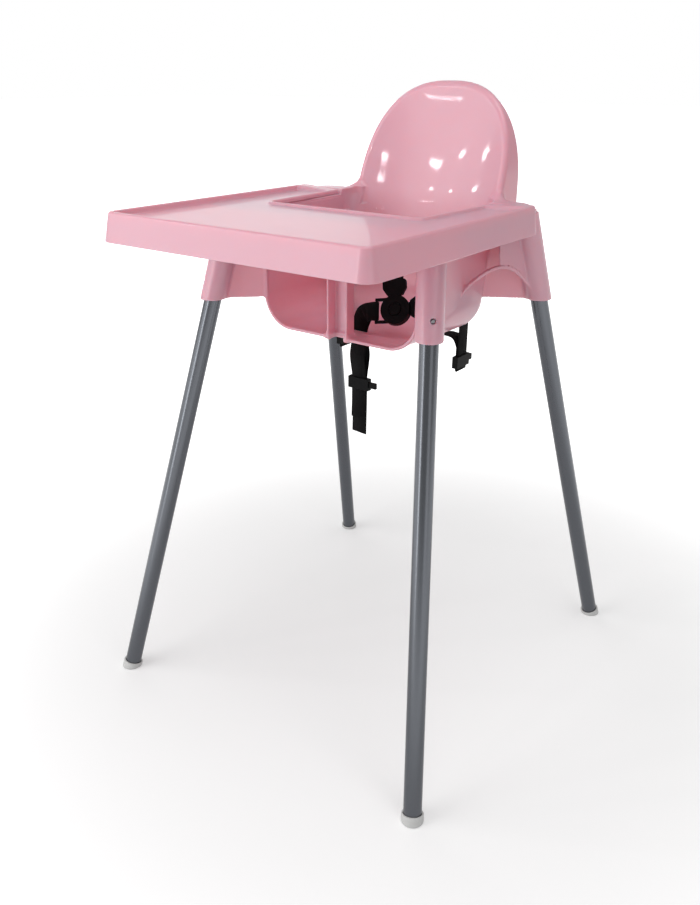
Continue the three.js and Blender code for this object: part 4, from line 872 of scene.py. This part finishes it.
# A named-input tree that sweeps the webbing's section along a route: the section is a
# flat rectangle with rounded edges, and its width follows the route's own direction.
webbing_tree = bpy.data.node_groups.new("webbing_along_route", "GeometryNodeTree")
face_in = webbing_tree.interface
face_in.new_socket("Geometry", in_out="OUTPUT", socket_type="NodeSocketGeometry")
face_in.new_socket("Geometry", in_out="INPUT", socket_type="NodeSocketGeometry")
for label in ("Width", "Thickness", "Edge Radius"):
    face_in.new_socket(label, in_out="INPUT", socket_type="NodeSocketFloat")
face_in.new_socket("Material", in_out="INPUT", socket_type="NodeSocketMaterial")
given = node(webbing_tree, "NodeGroupInput").outputs
path = node(webbing_tree, "GeometryNodeMeshToCurve", Mesh=given["Geometry"])
width_at = node(webbing_tree, "GeometryNodeInputNamedAttribute", {"data_type": "FLOAT_VECTOR"})
width_at.inputs["Name"].default_value = "across"
path = node(webbing_tree, "GeometryNodeSetCurveNormal", {"mode": "FREE"},
            Curve=path.outputs["Curve"], Normal=width_at.outputs["Attribute"])
run = node(webbing_tree, "GeometryNodeSplineParameter")
path = node(webbing_tree, "GeometryNodeStoreNamedAttribute", {"domain": "POINT", "Name": "along"},
            Geometry=path.outputs["Curve"], Value=run.outputs["Length"])
section = node(webbing_tree, "GeometryNodeCurvePrimitiveQuadrilateral",
               Width=given["Width"], Height=given["Thickness"])
section = node(webbing_tree, "GeometryNodeFilletCurve", {"mode": "POLY"},
               Curve=section.outputs["Curve"], Radius=given["Edge Radius"])
across_at = node(webbing_tree, "GeometryNodeInputPosition")
across_part = node(webbing_tree, "ShaderNodeSeparateXYZ", Vector=across_at.outputs["Position"])
section = node(webbing_tree, "GeometryNodeStoreNamedAttribute", {"domain": "POINT", "Name": "over"},
               Geometry=section.outputs["Curve"], Value=across_part.outputs["X"])
swept = node(webbing_tree, "GeometryNodeCurveToMesh", {"Fill Caps": True},
             Curve=path.outputs["Geometry"], Profile_Curve=section.outputs["Geometry"])
swept = node(webbing_tree, "GeometryNodeRealizeInstances", Geometry=swept.outputs["Mesh"])
swept = node(webbing_tree, "GeometryNodeSetMaterial",
             Geometry=swept.outputs["Geometry"], Material=given["Material"])
node(webbing_tree, "NodeGroupOutput", Geometry=swept.outputs["Geometry"])

# Woven polyester: matt black, ribbed across every 1.6 mm and finely corded along.
# Ribs of real webbing are nearer 0.8 mm; these are as fine as can show.
woven_polyester, tree, shader = new_material("woven_polyester", {
    "Roughness": 0.85,
    "Specular IOR Level": 0.12,
    "Sheen Weight": 0.04,
    "Sheen Roughness": 0.5,
})
along = node(tree, "ShaderNodeAttribute", {"attribute_name": "along"}).outputs["Fac"]
over = node(tree, "ShaderNodeAttribute", {"attribute_name": "over"}).outputs["Fac"]
rib = node(tree, "ShaderNodeMath", {"operation": "MULTIPLY"})
rib.inputs[1].default_value = math.tau / RIB_PITCH
tree.links.new(along, rib.inputs[0])
cord = node(tree, "ShaderNodeMath", {"operation": "MULTIPLY"})
cord.inputs[1].default_value = math.tau / CORD_PITCH
tree.links.new(over, cord.inputs[0])
rib_wave = node(tree, "ShaderNodeMath", {"operation": "SINE"})
tree.links.new(rib.outputs[0], rib_wave.inputs[0])
cord_wave = node(tree, "ShaderNodeMath", {"operation": "SINE"})
tree.links.new(cord.outputs[0], cord_wave.inputs[0])
weave = node(tree, "ShaderNodeMath", {"operation": "MULTIPLY_ADD"})
tree.links.new(rib_wave.outputs[0], weave.inputs[0])
weave.inputs[1].default_value = 0.7
tree.links.new(cord_wave.outputs[0], weave.inputs[2])
relief = node(tree, "ShaderNodeBump", {"Strength": 0.6, "Distance": 0.0003}, Height=weave.outputs[0])
tree.links.new(relief.outputs["Normal"], shader.inputs["Normal"])
# Painted shade: the black is darker in the weave's grooves and lighter on its raised ribs, following the
# same waves as the relief.
tint = node(tree, "ShaderNodeMix", {"data_type": "RGBA"})
tint.inputs["A"].default_value = linear("#050506")
tint.inputs["B"].default_value = linear("#0B0B0C")
groove_shade = node(tree, "ShaderNodeMapRange", {"From Min": -1.7, "From Max": 1.7}, Value=weave.outputs[0])
tree.links.new(groove_shade.outputs["Result"], tint.inputs["Factor"])
tree.links.new(tint.outputs["Result"], shader.inputs["Base Color"])


def webbing(name, stations):
    """One strap swept along its stations."""
    route = smooth_route(stations, 10)
    points = np.array([p for p, _ in route])
    widths = np.array([w for _, w in route])
    heading = np.gradient(points, axis=0)
    heading /= np.linalg.norm(heading, axis=1)[:, None]
    widths -= heading * (widths * heading).sum(axis=1)[:, None]
    widths /= np.linalg.norm(widths, axis=1)[:, None]
    points[:, 1] += shift
    line = bpy.data.meshes.new(name)
    edges = [(k, k + 1) for k in range(len(points) - 1)]
    line.from_pydata((points / 1000).tolist(), edges, [])
    line.attributes.new("across", "FLOAT_VECTOR", "POINT").data.foreach_set("vector", widths.ravel())
    strap = bpy.data.objects.new(name, line)
    bpy.context.collection.objects.link(strap)
    sweep = strap.modifiers.new("sweep", "NODES")
    sweep.node_group = webbing_tree
    sizes = {
        "Width": STRAP_WIDTH / 1000,
        "Thickness": STRAP_THICK / 1000,
        "Edge Radius": 0.0006,
        "Material": woven_polyester,
    }
    for item in webbing_tree.interface.items_tree:
        if item.in_out == "INPUT" and item.name in sizes:
            sweep[item.identifier] = sizes[item.name]
    applied(strap)
    strap.data.polygons.foreach_set("use_smooth", [True] * len(strap.data.polygons))
    strap.data.set_sharp_from_angle(angle=math.radians(50))
    return strap


LEVEL = (1, 0, 0)
LAYER = 1.3
CROTCH_PORT = 98.0
BAR_OUT = 28.5
ROUND_BAR = 3.15
slider_foot = CROTCH_SLIDER_Z - SLIDER_HALF - 1
pair = [
    ((CROTCH_X, CROTCH_Y, slider_foot - 21), LEVEL, LAYER),
    ((CROTCH_X, CROTCH_Y, slider_foot - 17), LEVEL, LAYER),
    ((CROTCH_X, CROTCH_Y, slider_foot), LEVEL, LAYER),
    ((CROTCH_X, CROTCH_Y, CROTCH_SLIDER_Z + SLIDER_HALF + 1), LEVEL, LAYER),
    ((CROTCH_X, CROTCH_Y, (CROTCH_SLIDER_Z + FLOOR_Z) / 2 + 3), LEVEL, 7.0),
    ((CROTCH_X, CROTCH_Y, FLOOR_Z - 10.8), LEVEL, LAYER),
    ((CROTCH_X, CROTCH_Y, FLOOR_Z + 2), LEVEL, LAYER),
    ((CROTCH_X + 8, CROTCH_Y - 1, FLOOR_Z + 23), (0.75, 0, -0.66), 2.3 * LAYER),
    (*at_port(CROTCH_PORT, BAR_OUT + 9), LAYER),
    (*at_port(CROTCH_PORT, BAR_OUT), ROUND_BAR),
]
layers = {}
for sign in (-1, 1):
    layers[sign] = []
    for k, (point, width, apart) in enumerate(pair):
        ahead, behind = pair[min(k + 1, len(pair) - 1)][0], pair[max(k - 1, 0)][0]
        normal = (Vector(ahead) - Vector(behind)).cross(Vector(width)).normalized()
        layers[sign].append((Vector(point) + normal * sign * apart, width))
crotch = webbing("crotch_webbing", [
    ((CROTCH_X + 3, CROTCH_Y - 6, CROTCH_SLIDER_Z - 51), LEVEL),
    *layers[-1],
    at_port(CROTCH_PORT, BAR_OUT - ROUND_BAR),
    *layers[1][::-1],
    ((CROTCH_X - 4, CROTCH_Y + 6, CROTCH_SLIDER_Z - 82), LEVEL),
])
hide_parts("crotch_strap")
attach(crotch, "seat")

WAIST_LAYER = 1.6
TAIL_Z = FLOOR_Z - 17.5
TAIL = 46.0
waist_routes = {
    "left": (-1, 12.0, [
        ((-106, 58, FLOOR_Z + 41.5), (0, -1, -0.2)),
        ((-66, 34, FLOOR_Z + 61.5), (0.3, -0.8, -0.3)),
        ((-10, 6, FLOOR_Z + 80), (-0.5, -0.75, 0.1)),
    ], (-0.5, -0.75, 0.1)),
    "right": (1, -78.0, [
        ((111, 56, FLOOR_Z + 39.5), (0, 0.9, 0.4)),
        ((116, 16, FLOOR_Z + 48.5), (-0.2, 0, 1)),
    ], (-0.2, 0, 1)),
}
for hand, (side, port, over_seat, last_width) in waist_routes.items():
    x = side * WAIST_X
    inner = x - 2 * side * WAIST_LAYER
    upright = (0, side, 0)
    top = WAIST_SLIDER_Z + SLIDER_HALF
    foot = WAIST_SLIDER_Z - SLIDER_HALF
    upright_points = [
        (inner - side * TAIL, TAIL_Z - 3), (inner - side * TAIL * 0.4, TAIL_Z),
        (inner - side * TAIL * 0.15, TAIL_Z - 3), (inner, top + 13), (inner, top + 10),
        (inner, top + 1), (inner, foot - 1), (inner, foot - 4),
        (x - side * WAIST_LAYER, foot - 4 - WAIST_LAYER), (x, foot - 4), (x, foot - 1),
        (x, top + 1), (x, FLOOR_Z - 12), (x, FLOOR_Z + 6), (x, FLOOR_Z + 20),
    ]
    waist = webbing(f"waist_webbing_{hand}", [
        *[((at, WAIST_Y, z), upright) for at, z in upright_points],
        *over_seat,
        (at_port(port, HANDLE_END + 16)[0], last_width),
        at_port(port, HANDLE_END + 5),
        at_port(port, HANDLE_END - 7),
    ])
    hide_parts(f"waist_strap_{hand}")
    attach(waist, "seat")

# ------------------------------------------------------- floor, lamps and camera
# A plain white floor keeps the chair's soft shadow, under broad studio lamps and a few
# small ones. The camera looks down at the chair's front from its right.

floor_mesh = bmesh.new()
bmesh.ops.create_grid(floor_mesh, x_segments=1, y_segments=1, size=30)
floor_data = bpy.data.meshes.new("floor")
floor_mesh.to_mesh(floor_data)
floor_mesh.free()
floor = bpy.data.objects.new("floor", floor_data)
bpy.context.collection.objects.link(floor)
floor.location.z = -0.0005

# White studio paper: matt near the chair, where it keeps the soft shadow, and lit to
# plain white further out, as a lit backdrop is.
studio_paper, tree, shader = new_material("studio_paper", {"Roughness": 0.9})
shader.inputs["Base Color"].default_value = linear("#E8E8E8")
rays = node(tree, "ShaderNodeLightPath")
seen = node(tree, "ShaderNodeMath", {"operation": "MAXIMUM"})
tree.links.new(rays.outputs["Is Camera Ray"], seen.inputs[0])
tree.links.new(rays.outputs["Is Glossy Ray"], seen.inputs[1])
place = node(tree, "ShaderNodeTexCoord").outputs["Object"]
away = node(tree, "ShaderNodeVectorMath", {"operation": "LENGTH"})
tree.links.new(place, away.inputs[0])
rise = node(tree, "ShaderNodeMapRange", {
    "interpolation_type": "SMOOTHSTEP", "From Min": 0.45, "From Max": 1.5, "To Min": 0.26, "To Max": 1.0,
}, Value=away.outputs["Value"])
glow = node(tree, "ShaderNodeMath", {"operation": "MULTIPLY"})
tree.links.new(seen.outputs[0], glow.inputs[0])
tree.links.new(rise.outputs["Result"], glow.inputs[1])
shader.inputs["Emission Color"].default_value = (1, 1, 1, 1)
tree.links.new(glow.outputs[0], shader.inputs["Emission Strength"])
floor_data.materials.append(studio_paper)

world = bpy.data.worlds.new("studio")
bpy.context.scene.world = world
world.use_nodes = True
tree = world.node_tree
rays = node(tree, "ShaderNodeLightPath")
white = node(tree, "ShaderNodeMath", {"operation": "MAXIMUM"})
tree.links.new(rays.outputs["Is Camera Ray"], white.inputs[0])
tree.links.new(rays.outputs["Is Transmission Ray"], white.inputs[1])
level = node(tree, "ShaderNodeMapRange", {"To Min": 0.44, "To Max": 1.0}, Value=white.outputs[0])
tree.nodes["Background"].inputs["Color"].default_value = (1, 1, 1, 1)
tree.links.new(level.outputs["Result"], tree.nodes["Background"].inputs["Strength"])


def softbox(name, at, towards, width, height, power):
    """A rectangular lamp at a point, facing another."""
    lamp = bpy.data.lights.new(name, "AREA")
    lamp.shape = "RECTANGLE"
    lamp.size, lamp.size_y = width, height
    lamp.energy = power
    holder = bpy.data.objects.new(name, lamp)
    holder.location = at
    holder.rotation_euler = (Vector(towards) - Vector(at)).to_track_quat("-Z", "Y").to_euler()
    holder.visible_camera = False
    bpy.context.collection.objects.link(holder)


# A tall softbox from the front left, a pale one from the right, a panel behind that the
# tray's face mirrors, one overhead, and a strip that draws a line down each leg.
softbox("key", (-1.75, -2.05, 1.55), (0, 0, 0.75), 2.1, 2.4, 24)
softbox("fill", (2.5, -1.0, 1.1), (0, 0, 0.6), 1.4, 1.8, 7)
softbox("panel", (-3.15, 1.95, 1.5), (0, -0.2, 0.7), 3.1, 2.4, 21)
softbox("top", (0.4, -0.3, 2.7), (0, -0.1, 0.75), 1.2, 1.2, 12)
softbox("strip", (-0.85, -2.6, 0.6), (0, 0, 0.4), 0.6, 1.1, 10)

# Small lamps that glint on the backrest, from the front round to the left. The last one,
# low down, draws the short streaks at the backrest's top and foot.
GLINTS = ((-0.27, -1.78, 1.85), (-1.11, -1.53, 1.67), (-1.41, -1.3, 1.6), (-1.7, -0.9, 1.54))
for spot, at in enumerate(GLINTS):
    softbox(f"spot_{spot}", at, (0, 0.15, 0.8), 0.09, 0.04, 1)
softbox("spot_low", (-1.08, -1.7, 1.26), (0, 0.15, 0.75), 0.3, 0.02, 0.7)

AZIMUTH = math.radians(36.24)
PITCH = math.radians(23.45)
TILT = math.radians(0.33)
CAMERA_AT = (0.7196, -1.0522 + shift / 1000, 0.905)
camera = bpy.data.cameras.new("camera")
camera.lens = 34.6
camera.sensor_width = 36.0
holder = bpy.data.objects.new("camera", camera)
pose = Matrix.Rotation(AZIMUTH, 4, "Z") @ Matrix.Rotation(math.pi / 2 - PITCH, 4, "X")
pose = pose @ Matrix.Rotation(TILT, 4, "Z")
holder.matrix_world = Matrix.Translation(CAMERA_AT) @ pose
bpy.context.collection.objects.link(holder)
bpy.context.scene.camera = holder
bpy.context.scene.view_settings.view_transform = "Standard"
